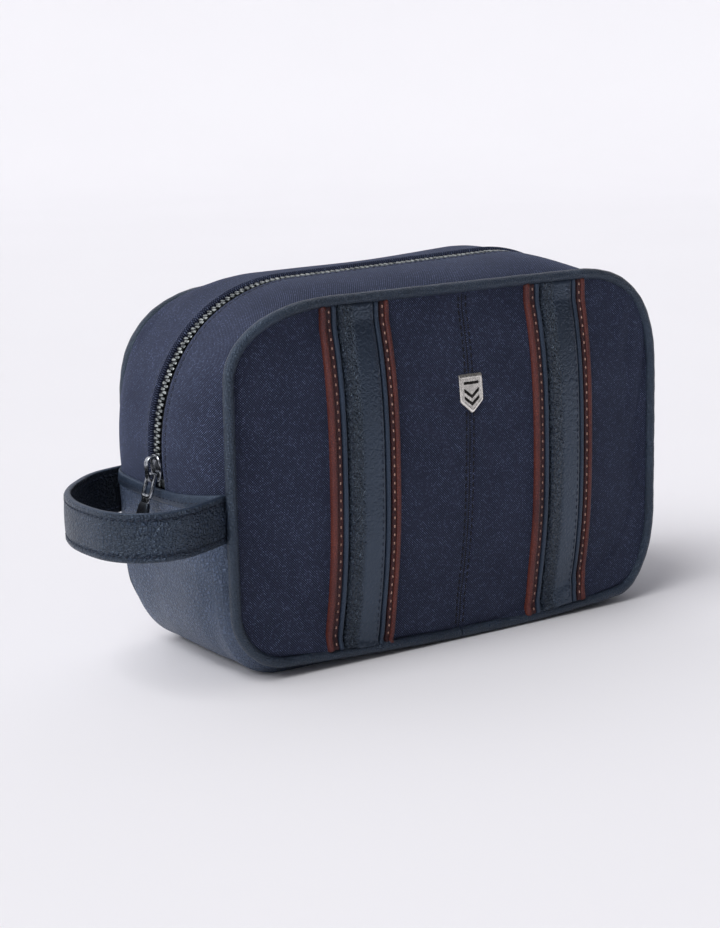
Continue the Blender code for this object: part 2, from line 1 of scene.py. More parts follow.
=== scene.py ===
"""The shaving kit bag's looks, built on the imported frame. Lengths are in millimetres until a mesh is made."""

import math

import bmesh
import bpy
import numpy as np
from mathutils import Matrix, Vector
from mathutils.bvhtree import BVHTree


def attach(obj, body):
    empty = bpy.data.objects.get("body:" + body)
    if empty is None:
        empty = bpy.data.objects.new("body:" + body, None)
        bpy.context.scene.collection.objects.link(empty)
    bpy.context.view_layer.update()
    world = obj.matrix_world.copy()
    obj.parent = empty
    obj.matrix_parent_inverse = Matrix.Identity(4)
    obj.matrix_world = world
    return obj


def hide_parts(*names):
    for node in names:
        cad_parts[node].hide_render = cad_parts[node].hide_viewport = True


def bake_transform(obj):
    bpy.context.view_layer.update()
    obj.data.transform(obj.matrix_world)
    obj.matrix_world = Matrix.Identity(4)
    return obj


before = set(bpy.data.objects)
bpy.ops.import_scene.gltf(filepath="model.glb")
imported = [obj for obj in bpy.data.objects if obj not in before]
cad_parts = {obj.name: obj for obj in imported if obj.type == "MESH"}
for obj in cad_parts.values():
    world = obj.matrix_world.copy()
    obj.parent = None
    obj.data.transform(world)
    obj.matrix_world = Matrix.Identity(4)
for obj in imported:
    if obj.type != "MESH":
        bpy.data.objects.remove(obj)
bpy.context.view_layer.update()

MM = 0.001

# The bag's outline, close to the CAD's
HALF_WIDTH = 119.6
RIM_LOW = 8.3
RIM_HIGH = 164.2
RIM_Y = 45.7
PIPING_RADIUS = 2.5
GAP = 0.3
# Each corner's reach along the width and the height, and how square it is (2 is an ellipse)
FRONT_CORNERS = {"top_left": (54.0, 31.0, 2.2), "top_right": (51.0, 53.0, 2.7),
                 "low_right": (20.0, 36.0, 2.0), "low_left": (25.0, 25.0, 2.0)}
BACK_CORNERS = {"top_left": (54.0, 50.0, 2.45), "top_right": (51.0, 53.0, 2.7),
                "low_right": (24.0, 34.0, 2.0), "low_left": (30.0, 30.0, 2.0)}
LOW_BOW = 5.3
SIDE_BOW = 0.8
BACK_TOP_RISE = 3.0
BACK_PIPING_SUNK = 0.8
CENTRE_Z = 0.5 * (RIM_LOW + RIM_HIGH)
# The zip's line over the gusset, and how full the gusset stands between the rims
ZIP_ARC_X = 56.3
ZIP_ARC_Z = 96.6
ZIP_ARC_RADIUS = 73.6
ZIP_CORNER = 75.0
ZIP_SQUARE = 2.2
ZIP_RISE = 2.7
BASE_HALF_FLAT = 86.0
BASE_FLAT_SHARE = 1.4
FRONT_FULLNESS = 3.2
BACK_FULLNESS = 10.5
GUSSET_HALF = RIM_Y - PIPING_RADIUS - GAP
TOOTH_PITCH = 2.75
# The leather base's upper edge, higher at the piping than in the middle
HEM_Z_EDGE = 85.0
HEM_SAG = 3.0
# The panels, and what is sewn on the front
PANEL_INSET = PIPING_RADIUS - 0.6
PANEL_HALF = HALF_WIDTH - PIPING_RADIUS - GAP
PANEL_CROWN = 10.0
SEAM_X = 0.8
SEAM_LEAN = 4.2
SEAM_STITCH = 2.1
BAND_LEFT = -64.4
GROUP_SPACING = 114.1
BADGE_Z = 116.4
# The slider, its pull and the wrist strap
SLIDER_REST_ANGLE = 183.6
PIVOT_ALONG = -2.4
PIVOT_LIFT = 3.0
PULL_LEAN = 14.0
PULL_TWIST = 8.0
STRAP_WIDTH = 20.5
STRAP_Z = 75.0
STRAP_PATH = [(-121.5, -41.5), (-126.5, -44.6), (-137.5, -49.6), (-148.0, -53.2), (-159.0, -53.0),
              (-169.0, -47.5), (-175.5, -37.0), (-177.3, -24.0), (-176.3, -9.0), (-171.5, 6.0),
              (-163.0, 18.5), (-152.5, 29.0), (-145.0, 34.8), (-137.5, 38.6), (-126.5, 41.6), (-121.5, 42.3)]
MIDDLE_X = 2.0


# ---------------------------------------------------------------- outlines

def by_angle(points):
    points = np.array(points)
    angles = np.degrees(np.arctan2(points[:, 1] - CENTRE_Z, points[:, 0])) % 360.0
    angles, first = np.unique(np.round(angles, 6), return_index=True)
    points = points[first]
    angles = np.concatenate([angles[-1:] - 360.0, angles, angles[:1] + 360.0])
    return angles, np.concatenate([points[-1:], points, points[:1]])


def rim_outline(corners, top_rise):
    """The piping's middle line round one panel: a rounded rectangle whose low edge bows down."""
    half_height = 0.5 * (RIM_HIGH - RIM_LOW)
    order = [(1, 1, 0, "top_right"), (-1, 1, 90, "top_left"),
             (-1, -1, 180, "low_left"), (1, -1, 270, "low_right")]
    points = []
    for side, level, start, name in order:
        reach, rise, power = corners[name]
        for turn in range(0, 91, 2):
            angle = math.radians(start + turn)
            across = abs(math.cos(angle)) ** (2.0 / power)
            up = abs(math.sin(angle)) ** (2.0 / power)
            points.append((side * (HALF_WIDTH - reach + reach * across),
                           level * (half_height - rise + rise * up)))
    points.append(points[0])
    dense = []
    for (x0, z0), (x1, z1) in zip(points[:-1], points[1:]):
        steps = max(1, int(math.hypot(x1 - x0, z1 - z0)))
        for k in range(steps):
            dense.append((x0 + (x1 - x0) * k / steps, z0 + (z1 - z0) * k / steps))
    bowed = []
    for x, z in dense:
        across = x / HALF_WIDTH
        up = z / half_height
        drop = 0.0
        if z < 0:
            drop = LOW_BOW * max(0.0, 1.0 - across * across) * (1.0 + 0.5 * across) * abs(up) ** 3
        rise = top_rise * across * abs(up) ** 3 if z > 0 else 0.0
        spread = math.copysign(SIDE_BOW, x) * max(0.0, 1.0 - up * up) * abs(across) ** 3
        bowed.append((x + spread, z - drop + rise + CENTRE_Z))
    return by_angle(bowed)


def bezier(p0, p1, p2, p3, steps):
    shares = np.linspace(0.0, 1.0, steps)[:, None]
    ends = [np.array(p, float) for p in (p0, p1, p2, p3)]
    rest = 1.0 - shares
    return (rest ** 3 * ends[0] + 3 * rest ** 2 * shares * ends[1]
            + 3 * rest * shares ** 2 * ends[2] + shares ** 3 * ends[3])


def spine_outline():
    """The gusset's middle line, which the zip follows over the top."""
    points = []
    edge = ZIP_ARC_X + ZIP_ARC_RADIUS
    for angle in np.linspace(188.3, 180.0, 16)[:-1]:
        turn = math.radians(angle)
        points.append((-ZIP_ARC_X + ZIP_ARC_RADIUS * math.cos(turn),
                       ZIP_ARC_Z + ZIP_ARC_RADIUS * math.sin(turn)))
    for angle in np.linspace(0.0, 0.5 * math.pi, 110):
        across = math.cos(angle) ** (2.0 / ZIP_SQUARE)
        up = math.sin(angle) ** (2.0 / ZIP_SQUARE)
        points.append((ZIP_CORNER - edge - ZIP_CORNER * across, ZIP_ARC_Z + ZIP_ARC_RADIUS * up))
    for angle in np.linspace(90.0, -8.3, 120):
        turn = math.radians(angle)
        points.append((ZIP_ARC_X + ZIP_ARC_RADIUS * math.cos(turn),
                       ZIP_ARC_Z + ZIP_RISE + ZIP_ARC_RADIUS * math.sin(turn)))
    points += [tuple(p) for p in bezier((129.1, 87.7), (126, 28), (120, 0), (BASE_HALF_FLAT, 0), 90)[1:]]
    points += [(x, 0.0) for x in np.linspace(BASE_HALF_FLAT, -BASE_HALF_FLAT, 60)[1:-1]]
    points += [tuple(p) for p in bezier((-BASE_HALF_FLAT, 0), (-120, 0), (-126, 28), (-129.1, 86), 90)[:-1]]
    return by_angle(points)


FRONT_RIM = rim_outline(FRONT_CORNERS, 0.0)
BACK_RIM = rim_outline(BACK_CORNERS, BACK_TOP_RISE)
SPINE = spine_outline()


def on_outline(outline, angles):
    knots, points = outline
    angles = np.asarray(angles, float) % 360.0
    return np.stack([np.interp(angles, knots, points[:, 0]), np.interp(angles, knots, points[:, 1])], axis=-1)


def slice_points(angles, ys):
    """The gusset's outer surface as (x, z), at each angle and depth."""
    angles, ys = np.broadcast_arrays(np.asarray(angles, float), np.asarray(ys, float))
    share = (0.5 * (ys / GUSSET_HALF + 1.0))[..., None]
    front = on_outline(FRONT_RIM, angles)
    back = on_outline(BACK_RIM, angles)
    edge = front + (back - front) * share
    middle = 0.5 * (front + back)
    height = np.sin(np.radians(angles))
    low = np.clip(-height * 2.2, 0.0, 1.0)
    fullness = np.where(ys > 0.0, BACK_FULLNESS - 6.7 * np.clip(height, 0.0, 1.0) ** 4, FRONT_FULLNESS)
    depth = np.minimum(np.abs(ys) / GUSSET_HALF, 1.0)
    swell = np.clip((1.0 - depth ** fullness) * (1.0 + BASE_FLAT_SHARE * low), 0.0, 1.0)[..., None]
    spine = on_outline(SPINE, angles)
    return edge + (spine - middle) * swell


def gusset_points(angles, ys, lift=0.0):
    angles, ys = np.broadcast_arrays(np.asarray(angles, float), np.asarray(ys, float))
    flat = slice_points(angles, ys)
    step = slice_points(angles + 0.5, ys) - slice_points(angles - 0.5, ys)
    outward = np.stack([step[..., 1], -step[..., 0]], axis=-1)
    outward /= np.linalg.norm(outward, axis=-1, keepdims=True)
    flat = flat + outward * np.asarray(lift, float)[..., None]
    return np.stack([flat[..., 0], ys, flat[..., 1]], axis=-1)


def stations(start, stop, count, turn_weight=20.0):
    """Angles from start to stop, spaced by length and closer together round the corners."""
    angles = np.linspace(start, stop, 900)
    points = on_outline(SPINE, angles)
    steps = np.diff(points, axis=0)
    lengths = np.linalg.norm(steps, axis=1)
    headings = np.unwrap(np.arctan2(steps[:, 1], steps[:, 0]))
    turns = np.abs(np.diff(headings, prepend=headings[0]))
    total = np.concatenate([[0.0], np.cumsum(lengths + turn_weight * turns)])
    return np.interp(np.linspace(0.0, total[-1], count), total, angles)


def angle_where(ys, axis, values, low, high):
    """The angles between low and high at which the surface reaches the given x or z."""
    ys, values = np.broadcast_arrays(np.asarray(ys, float), np.asarray(values, float))
    low = np.full(ys.shape, low)
    high = np.full(ys.shape, high)
    rising = slice_points(high, ys)[..., axis] > slice_points(low, ys)[..., axis]
    for _ in range(28):
        middle = 0.5 * (low + high)
        short = (slice_points(middle, ys)[..., axis] < values) == rising
        low = np.where(short, middle, low)
        high = np.where(short, high, middle)
    return 0.5 * (low + high)


def hem_height(y, above):
    return HEM_Z_EDGE - HEM_SAG * (1.0 - (y / GUSSET_HALF) ** 2) + above


def left_hem(y, above):
    return angle_where(y, 1, hem_height(y, above), 150.0, 215.0)


def right_hem(y, above):
    return angle_where(y, 1, hem_height(y, above), -35.0, 30.0)


def top_angle(y, x):
    return angle_where(y, 0, x, 50.0, 135.0)


def gusset_angles(depths, start, stop, count):
    """A grid of angles, one column for each depth, from start(y) to stop(y)."""
    starts = start(np.asarray(depths, float))
    stops = stop(np.asarray(depths, float))
    track = stations(starts.mean(), stops.mean(), count)
    shares = (track - track[0]) / (track[-1] - track[0])
    return starts[None, :] + (stops - starts)[None, :] * shares[:, None]


def lengths_along(points):
    """Running length along the middle column of a grid."""
    middle = points[:, points.shape[1] // 2]
    return np.concatenate([[0.0], np.cumsum(np.linalg.norm(np.diff(middle, axis=0), axis=1))])


# ---------------------------------------------------------------- materials

class Look:
    """A node material under construction."""

    def __init__(self, name, roughness=0.5, metallic=0.0, specular=0.5):
        self.material = bpy.data.materials.new(name)
        self.material.use_nodes = True
        self.tree = self.material.node_tree
        self.shader = self.tree.nodes["Principled BSDF"]
        self.shader.inputs["Roughness"].default_value = roughness
        self.shader.inputs["Metallic"].default_value = metallic
        self.shader.inputs["Specular IOR Level"].default_value = specular

    def put(self, socket, value):
        if isinstance(value, bpy.types.NodeSocket):
            self.tree.links.new(value, socket)
        else:
            socket.default_value = value

    def node(self, kind, inputs=None, **settings):
        made = self.tree.nodes.new(kind)
        for key, value in settings.items():
            setattr(made, key, value)
        for key, value in (inputs or {}).items():
            self.put(made.inputs[key], value)
        return made

    def math(self, operation, first, second=0.0, third=0.0):
        made = self.node("ShaderNodeMath", operation=operation)
        for socket, value in zip(made.inputs, (first, second, third)):
            self.put(socket, value)
        return made.outputs[0]

    def mix(self, share, first, second):
        made = self.node("ShaderNodeMix", data_type="RGBA")
        self.put(made.inputs["Factor"], share)
        self.put(made.inputs["A"], first)
        self.put(made.inputs["B"], second)
        return made.outputs["Result"]

    def ramp(self, value, low, high, smooth=True):
        made = self.node("ShaderNodeMapRange", {"Value": value, "From Min": low, "From Max": high},
                         interpolation_type="SMOOTHSTEP" if smooth else "LINEAR")
        return made.outputs["Result"]

    def object_coordinates(self):
        return self.node("ShaderNodeTexCoord").outputs["Object"]

    def uv(self):
        """UV in millimetres: its two parts and the whole."""
        source = self.node("ShaderNodeUVMap", uv_map="UVMap").outputs["UV"]
        parts = self.node("ShaderNodeSeparateXYZ", {"Vector": source})
        return parts.outputs["X"], parts.outputs["Y"], source

    def noise(self, vector, scale, detail=3.0, roughness=0.55):
        return self.node("ShaderNodeTexNoise", {"Vector": vector, "Scale": scale, "Detail": detail,
                                                "Roughness": roughness}).outputs["Fac"]

    def cell_edges(self, vector, scale):
        """Distance to the nearest edge between irregular cells."""
        made = self.node("ShaderNodeTexVoronoi", {"Vector": vector, "Scale": scale},
                         feature="DISTANCE_TO_EDGE")
        return made.outputs["Distance"]

    def bump(self, height, strength, distance_mm, under=None):
        inputs = {"Height": height, "Strength": strength, "Distance": distance_mm * MM}
        made = self.node("ShaderNodeBump", inputs)
        if under is not None:
            self.put(made.inputs["Normal"], under)
        return made.outputs["Normal"]

    def finish(self, colour=None, roughness=None, normal=None):
        if colour is not None:
            self.put(self.shader.inputs["Base Color"], colour)
        if roughness is not None:
            self.put(self.shader.inputs["Roughness"], roughness)
        if normal is not None:
            self.put(self.shader.inputs["Normal"], normal)
        return self.material


def rgb(red, green, blue):
    """An sRGB colour out of 255 as linear values with alpha."""
    values = []
    for part in (red, green, blue):
        share = part / 255.0
        values.append(share / 12.92 if share <= 0.04045 else ((share + 0.055) / 1.055) ** 2.4)
    return (*values, 1.0)


def cloth_look(name, dark, light, pitch, sheen, strength=0.5):
    """Woven cloth: crowns of crossing threads from UVs in millimetres. The crowns are painted lighter than the
    gaps between threads as painted highlight and shade, and a few of them carry a painted glint.
    """
    look = Look(name, roughness=0.8, specular=0.16)
    u, v, source = look.uv()
    rising = look.math("DIVIDE", look.math("ADD", u, v), pitch)
    falling = look.math("DIVIDE", look.math("SUBTRACT", u, v), pitch)
    first = look.math("SINE", look.math("MULTIPLY", look.math("FRACT", rising), math.pi))
    second = look.math("SINE", look.math("MULTIPLY", look.math("FRACT", falling), math.pi))
    crown_height = look.math("MULTIPLY", look.math("POWER", first, 1.6), look.math("POWER", second, 1.6))
    cell = look.node("ShaderNodeCombineXYZ",
                     {"X": look.math("FLOOR", rising), "Y": look.math("FLOOR", falling)})
    fleck = look.node("ShaderNodeTexWhiteNoise", {"Vector": cell.outputs[0]}).outputs["Value"]
    cloud = look.noise(source, 0.05, 3.0)
    # Painted glint on a few thread crowns, times a slow random tone; the colour below paints the crowns lighter
    # than the gaps as painted highlight and shade.
    painted_glint_and_tone = look.math("MULTIPLY_ADD", look.math("POWER", fleck, 4.0), 0.42, 0.25)
    painted_glint_and_tone = look.math("MULTIPLY", painted_glint_and_tone, look.math("MULTIPLY_ADD", cloud, 1.0, 0.5))
    colour = look.mix(look.math("MULTIPLY", crown_height, painted_glint_and_tone), dark, light)
    under = look.bump(look.noise(source, 0.12, 2.0), 0.25, 0.5)
    normal = look.bump(crown_height, strength, 0.16, under)
    look.shader.inputs["Sheen Weight"].default_value = sheen
    look.shader.inputs["Sheen Roughness"].default_value = 0.4
    look.shader.inputs["Sheen Tint"].default_value = (0.5, 0.62, 1.0, 1.0)
    return look.finish(colour, look.math("MULTIPLY_ADD", fleck, 0.15, 0.7), normal)


def leather_look(name, dark, light, grain, relief, roughness=0.42, specular=0.7, pressed=None):
    """Grained leather: pebbles parted by creases, fine pores and slow colour change, with the pebble tops
    painted lighter and the creases darker as painted highlight and shade. Where pressed is given, as (first
    edge, repeat, start, end) across in millimetres, the grain fades out along it."""
    look = Look(name, roughness=roughness, specular=specular)
    place = look.object_coordinates()
    wobble = look.node("ShaderNodeTexNoise",
                       {"Vector": place, "Scale": 330.0, "Detail": 2.0}).outputs["Color"]
    bent = look.node("ShaderNodeVectorMath", operation="MULTIPLY_ADD")
    look.put(bent.inputs[0], wobble)
    bent.inputs[1].default_value = (0.9 * grain * MM,) * 3
    look.put(bent.inputs[2], place)
    wide = look.cell_edges(bent.outputs[0], 1000.0 / grain)
    small = look.cell_edges(bent.outputs[0], 2300.0 / grain)
    pebble = look.ramp(wide, 0.0, 0.32)
    pore = look.ramp(small, 0.0, 0.3)
    patch = look.ramp(look.noise(place, 60.0, 3.0), 0.35, 0.65)
    height = look.math("ADD", look.math("MULTIPLY", pebble, look.math("MULTIPLY_ADD", patch, 0.5, 0.5)),
                       look.math("MULTIPLY", pore, 0.3))
    if pressed is not None:
        edge, repeat, start, end = pressed
        u = look.uv()[0]
        across = look.math("MODULO", look.math("ADD", u, 2.0 * repeat - edge), repeat)
        kept = look.math("MULTIPLY_ADD", look.ramp(across, start, end), -0.88, 1.0)
        height = look.math("MULTIPLY_ADD", look.math("SUBTRACT", height, 0.8), kept, 0.8)
    slow = look.noise(place, 28.0, 4.0)
    # The colour follows the relief: painted highlight on the pebbles and painted shade in the creases and
    # pores, plus a slow random tone.
    tone = look.math("MULTIPLY_ADD", height, 0.5, look.math("MULTIPLY_ADD", slow, 0.8, -0.25))
    colour = look.mix(look.ramp(tone, 0.0, 1.0, smooth=False), dark, light)
    under = look.bump(look.noise(place, 80.0, 2.0), 0.25, 1.0)
    normal = look.bump(height, 1.0, relief, under)
    rough = look.math("MULTIPLY_ADD", look.noise(place, 420.0, 2.0), 0.16,
                      look.math("MULTIPLY_ADD", height, -0.08, roughness))
    look.shader.inputs["Specular Tint"].default_value = (0.62, 0.78, 1.0, 1.0)
    return look.finish(colour, rough, normal)


def metal_look(name, dark, light, roughness):
    look = Look(name, roughness=roughness, metallic=1.0)
    place = look.object_coordinates()
    patch = look.noise(place, 500.0, 4.0)
    drawn = look.node("ShaderNodeMapping", {"Vector": place, "Scale": (300.0, 300.0, 4000.0)}).outputs[0]
    scratch = look.noise(drawn, 1.0, 2.0)
    colour = look.mix(look.ramp(patch, 0.35, 0.7), dark, light)
    rough = look.math("MULTIPLY_ADD", patch, 0.2, roughness - 0.08)
    return look.finish(colour, rough, look.bump(scratch, 0.12, 0.03))


def thread_look(name, colour, lighter):
    look = Look(name, roughness=0.6, specular=0.3)
    place = look.object_coordinates()
    twist_relief_and_shade = look.node("ShaderNodeTexWave", {"Vector": place, "Scale": 900.0, "Distortion": 1.0},
                      bands_direction="DIAGONAL").outputs["Fac"]
    # The twist's ridges are painted lighter and its grooves darker as painted highlight and shade.
    return look.finish(look.mix(twist_relief_and_shade, colour, lighter), None, look.bump(twist_relief_and_shade, 0.3, 0.1))


CANVAS = cloth_look("canvas", rgb(12, 16, 35), rgb(138, 152, 192), 1.1, 0.16, 1.0)
LINING = cloth_look("lining", rgb(24, 25, 31), rgb(80, 84, 98), 0.7, 0.1, 0.4)
TAPE = cloth_look("tape", rgb(10, 10, 13), rgb(60, 62, 72), 0.9, 0.1, 0.5)
RIBBON = cloth_look("ribbon", rgb(26, 28, 38), rgb(90, 96, 112), 1.0, 0.1, 0.5)
SLATE = leather_look("slate_leather", rgb(3, 5, 11), rgb(42, 55, 78), 2.0, 0.9, 0.34, 0.9)
SLATE_BAND = leather_look("slate_band", rgb(1, 3, 7), rgb(40, 50, 68), 2.3, 1.2, 0.34, 0.9,
                          (BAND_LEFT, GROUP_SPACING, 5.5, 9.0))
# The same slate leather as the rest, made much lighter as painted light from the key lamp and its reflection on
# the bag's sides.
SLATE_PAINTED_LIT = leather_look("slate_side_painted_lit", rgb(36, 44, 62), rgb(96, 112, 144), 1.8, 1.0, 0.33, 1.0)
SLATE_SMOOTH = leather_look("slate_edge", rgb(22, 30, 43), rgb(54, 67, 88), 1.0, 0.1)
PIPING = leather_look("piping_leather", rgb(10, 15, 24), rgb(44, 56, 76), 1.3, 0.3, 0.3, 0.9)
STRAP_INSIDE = leather_look("strap_inside", rgb(6, 7, 11), rgb(30, 33, 42), 2.2, 0.5, 0.5, 0.4)
BROWN = leather_look("brown_leather", rgb(60, 22, 14), rgb(128, 62, 43), 1.0, 0.14, 0.38, 0.5)
BROWN_FLAT = leather_look("brown_flat", rgb(36, 14, 11), rgb(100, 48, 38), 1.0, 0.3, 0.45, 0.5)
GUNMETAL = metal_look("gunmetal", rgb(108, 112, 118), rgb(190, 194, 200), 0.2)
TEETH_METAL = metal_look("teeth_metal", rgb(92, 98, 100), rgb(196, 202, 200), 0.3)
SILVER = metal_look("silver", rgb(208, 205, 200), rgb(240, 236, 230), 0.24)
ENGRAVING = metal_look("engraving", rgb(30, 29, 28), rgb(60, 58, 56), 0.4)
TAB = leather_look("tab_leather", rgb(5, 5, 7), rgb(16, 16, 20), 1.0, 0.08, 0.3, 0.5)
NAVY_THREAD = thread_look("navy_thread", rgb(4, 5, 10), rgb(18, 22, 36))
SLATE_THREAD = thread_look("slate_thread", rgb(6, 8, 13), rgb(52, 62, 82))
TAN_THREAD = thread_look("tan_thread", rgb(140, 98, 84), rgb(206, 172, 156))


# ---------------------------------------------------------------- meshes

def make_mesh(name, points, faces, material, uvs=None, sharp=40.0, body=None):
    """A mesh object from points in millimetres; uvs are one pair for each vertex, in millimetres."""
    mesh = bpy.data.meshes.new(name)
    mesh.from_pydata((np.asarray(points, float) * MM).tolist(), [], faces)
    if uvs is not None:
        layer = mesh.uv_layers.new(name="UVMap")
        corners = np.zeros(len(mesh.loops), np.int32)
        mesh.loops.foreach_get("vertex_index", corners)
        layer.data.foreach_set("uv", np.asarray(uvs, np.float32)[corners].ravel())
    work = bmesh.new()
    work.from_mesh(mesh)
    bmesh.ops.recalc_face_normals(work, faces=work.faces)
    work.to_mesh(mesh)
    work.free()
    mesh.shade_smooth()
    mesh.set_sharp_from_angle(angle=math.radians(sharp))
    mesh.materials.append(material)
    made = bpy.data.objects.new(name, mesh)
    bpy.context.scene.collection.objects.link(made)
    if body:
        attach(made, body)
    return made


def grid_faces(rows, columns, shift=0):
    return [[shift + i * columns + j, shift + (i + 1) * columns + j,
             shift + (i + 1) * columns + j + 1, shift + i * columns + j + 1]
            for i in range(rows - 1) for j in range(columns - 1)]


def sheet_mesh(name, outer, inner, material, uvs, **options):
    """A closed sheet between two grids."""
    rows, columns = outer.shape[:2]
    shift = rows * columns
    faces = grid_faces(rows, columns)
    faces += [[k + shift for k in reversed(face)] for face in grid_faces(rows, columns)]
    border = [i * columns for i in range(rows)]
    border += [(rows - 1) * columns + j for j in range(1, columns)]
    border += [i * columns + columns - 1 for i in range(rows - 2, -1, -1)]
    border += list(range(columns - 2, 0, -1))
    for k, start in enumerate(border):
        end = border[(k + 1) % len(border)]
        faces.append([start, shift + start, shift + end, end])
    points = np.concatenate([outer.reshape(-1, 3), inner.reshape(-1, 3)])
    flat = uvs.reshape(-1, 2)
    return make_mesh(name, points, faces, material, np.concatenate([flat, flat]), **options)


def sweep_mesh(name, rings, material, closed=False, **options):
    """A body swept through rings of points, with UVs of length along and length round."""
    rings = np.asarray(rings, float)
    count, size = rings.shape[:2]
    faces = []
    for i in range(count if closed else count - 1):
        after = (i + 1) % count
        for k in range(size):
            beside = (k + 1) % size
            faces.append([i * size + k, i * size + beside, after * size + beside, after * size + k])
    if not closed:
        faces.append(list(range(size - 1, -1, -1)))
        faces.append([(count - 1) * size + k for k in range(size)])
    along = np.concatenate([[0.0], np.cumsum(np.linalg.norm(np.diff(rings[:, 0], axis=0), axis=1))])
    round_it = np.concatenate([[0.0], np.cumsum(np.linalg.norm(np.diff(rings[0], axis=0), axis=1))])
    uvs = np.stack(np.meshgrid(along, round_it, indexing="ij"), axis=-1)
    return make_mesh(name, rings.reshape(-1, 3), faces, material, uvs.reshape(-1, 2), **options)


def resample(points, spacing, offset=0.0):
    """Points at even spacing along a line, and how far along it each one is."""
    points = np.asarray(points, float)
    total = np.concatenate([[0.0], np.cumsum(np.linalg.norm(np.diff(points, axis=0), axis=1))])
    places = np.arange(offset, total[-1], spacing)
    return np.stack([np.interp(places, total, points[:, k]) for k in range(3)], axis=1), places


def unit(vectors):
    return vectors / np.maximum(np.linalg.norm(vectors, axis=-1, keepdims=True), 1e-9)


def stitch_mesh(name, lines, material, length=2.6, pitch=3.4, radius=0.32, sink=0.1, body=None):
    """Rows of stitches: each line is (points, outward normals), and each stitch a short bowed thread."""
    points = []
    faces = []
    shares = np.array([0.0, 0.12, 0.5, 0.88, 1.0])
    widths = np.array([0.35, 0.85, 1.0, 0.85, 0.35])
    rises = np.array([-0.9, -0.1, 0.25, -0.1, -0.9])
    for line, normals in lines:
        line = np.asarray(line, float)
        normals = np.asarray(normals, float)
        total = np.concatenate([[0.0], np.cumsum(np.linalg.norm(np.diff(line, axis=0), axis=1))])
        for start in np.arange(0.5, total[-1] - length, pitch):
            places = start + shares * length
            middle = np.stack([np.interp(places, total, line[:, k]) for k in range(3)], axis=1)
            out = unit(np.stack([np.interp(places, total, normals[:, k]) for k in range(3)], axis=1))
            along = unit(np.gradient(middle, axis=0))
            side = unit(np.cross(along, out))
            first = len(points)
            for k in range(5):
                centre = middle[k] + out[k] * (rises[k] * radius - sink)
                for turn in range(6):
                    angle = math.pi * turn / 3.0
                    points.append(centre + widths[k] * radius * (side[k] * math.cos(angle) * 1.15
                                                                 + out[k] * math.sin(angle)))
            for k in range(4):
                for turn in range(6):
                    after = (turn + 1) % 6
                    faces.append([first + k * 6 + turn, first + k * 6 + after,
                                  first + (k + 1) * 6 + after, first + (k + 1) * 6 + turn])
            faces.append([first + turn for turn in range(5, -1, -1)])
            faces.append([first + 24 + turn for turn in range(6)])
    return make_mesh(name, points, faces, material, body=body, sharp=80.0)


def panel_edge(rim, x, inset):
    """Low and high edge of a panel at x, inset from its piping's middle line."""
    points = rim[1][1:-1]
    ahead = np.roll(points, -3, axis=0)
    behind = np.roll(points, 3, axis=0)
    step = unit(ahead - behind)
    inner = points - inset * np.stack([step[:, 1], -step[:, 0]], axis=1)
    upper = inner[inner[:, 1] > CENTRE_Z]
    lower = inner[inner[:, 1] < CENTRE_Z]
    upper = upper[np.argsort(upper[:, 0])]
    lower = lower[np.argsort(lower[:, 0])]
    return np.interp(x, lower[:, 0], lower[:, 1]), np.interp(x, upper[:, 0], upper[:, 1])


def crown(x, z):
    """How far a panel swells out at a point."""
    across = np.minimum(1.0, np.abs(x) / PANEL_HALF)
    up = np.minimum(1.0, np.abs(z - CENTRE_Z) / (0.5 * (RIM_HIGH - RIM_LOW) - PIPING_RADIUS - GAP + 2.0))
    return PANEL_CROWN * (1.0 - across ** 4) * (1.0 - up ** 2.6)


# ---------------------------------------------------------------- front and back panels

PANEL_ROWS = 81
PANEL_PRESSURE = 3.0
SETTLING_FRAMES = 24
LARGEST_MOVE = 2.2


def settle_cloth(made, pinned):
    """Let a panel settle as cloth held round its border, and keep the settled shape."""
    group = made.vertex_groups.new(name="held")
    group.add([int(k) for k in pinned], 1.0, "REPLACE")
    cloth = made.modifiers.new("settle", "CLOTH")
    cloth.settings.vertex_group_mass = "held"
    cloth.settings.quality = 6
    cloth.settings.mass = 0.3
    cloth.settings.tension_stiffness = 30.0
    cloth.settings.compression_stiffness = 30.0
    cloth.settings.shear_stiffness = 12.0
    cloth.settings.bending_stiffness = 8.0
    cloth.settings.air_damping = 6.0
    cloth.settings.use_pressure = True
    cloth.settings.uniform_pressure_force = PANEL_PRESSURE
    cloth.collision_settings.use_self_collision = False
    cloth.point_cache.frame_start = 1
    cloth.point_cache.frame_end = SETTLING_FRAMES
    scene = bpy.context.scene
    for number in range(1, SETTLING_FRAMES + 1):
        scene.frame_set(number)
        bpy.context.view_layer.update()
    settled = made.evaluated_get(bpy.context.evaluated_depsgraph_get())
    points = np.zeros(len(made.data.vertices) * 3)
    settled.data.vertices.foreach_get("co", points)
    made.modifiers.remove(cloth)
    made.vertex_groups.clear()
    scene.frame_set(1)
    return points.reshape(-1, 3) / MM


def panel_grid(rim):
    """Columns from edge to edge of a panel; the rows crowd towards both edges."""
    spread = np.linspace(-1.0, 1.0, 111)
    reach = HALF_WIDTH + SIDE_BOW - PANEL_INSET - 0.2
    xs = reach * np.sin(0.43 * math.pi * spread) / math.sin(0.43 * math.pi)
    xs = np.concatenate([xs[np.abs(xs - SEAM_X - 2.2) > 6.7], SEAM_X + np.arange(-4.0, 8.6, 0.5)])
    xs.sort()
    rows = np.linspace(-1.0, 1.0, PANEL_ROWS)
    shares = 0.5 + 0.5 * np.sin(0.43 * math.pi * rows) / math.sin(0.43 * math.pi)
    grid = np.zeros((len(xs), PANEL_ROWS, 2))
    for i, x in enumerate(xs):
        low, high = panel_edge(rim, x, PANEL_INSET)
        grid[i, :, 0] = x
        grid[i, :, 1] = low + (high - low) * shares
    return grid


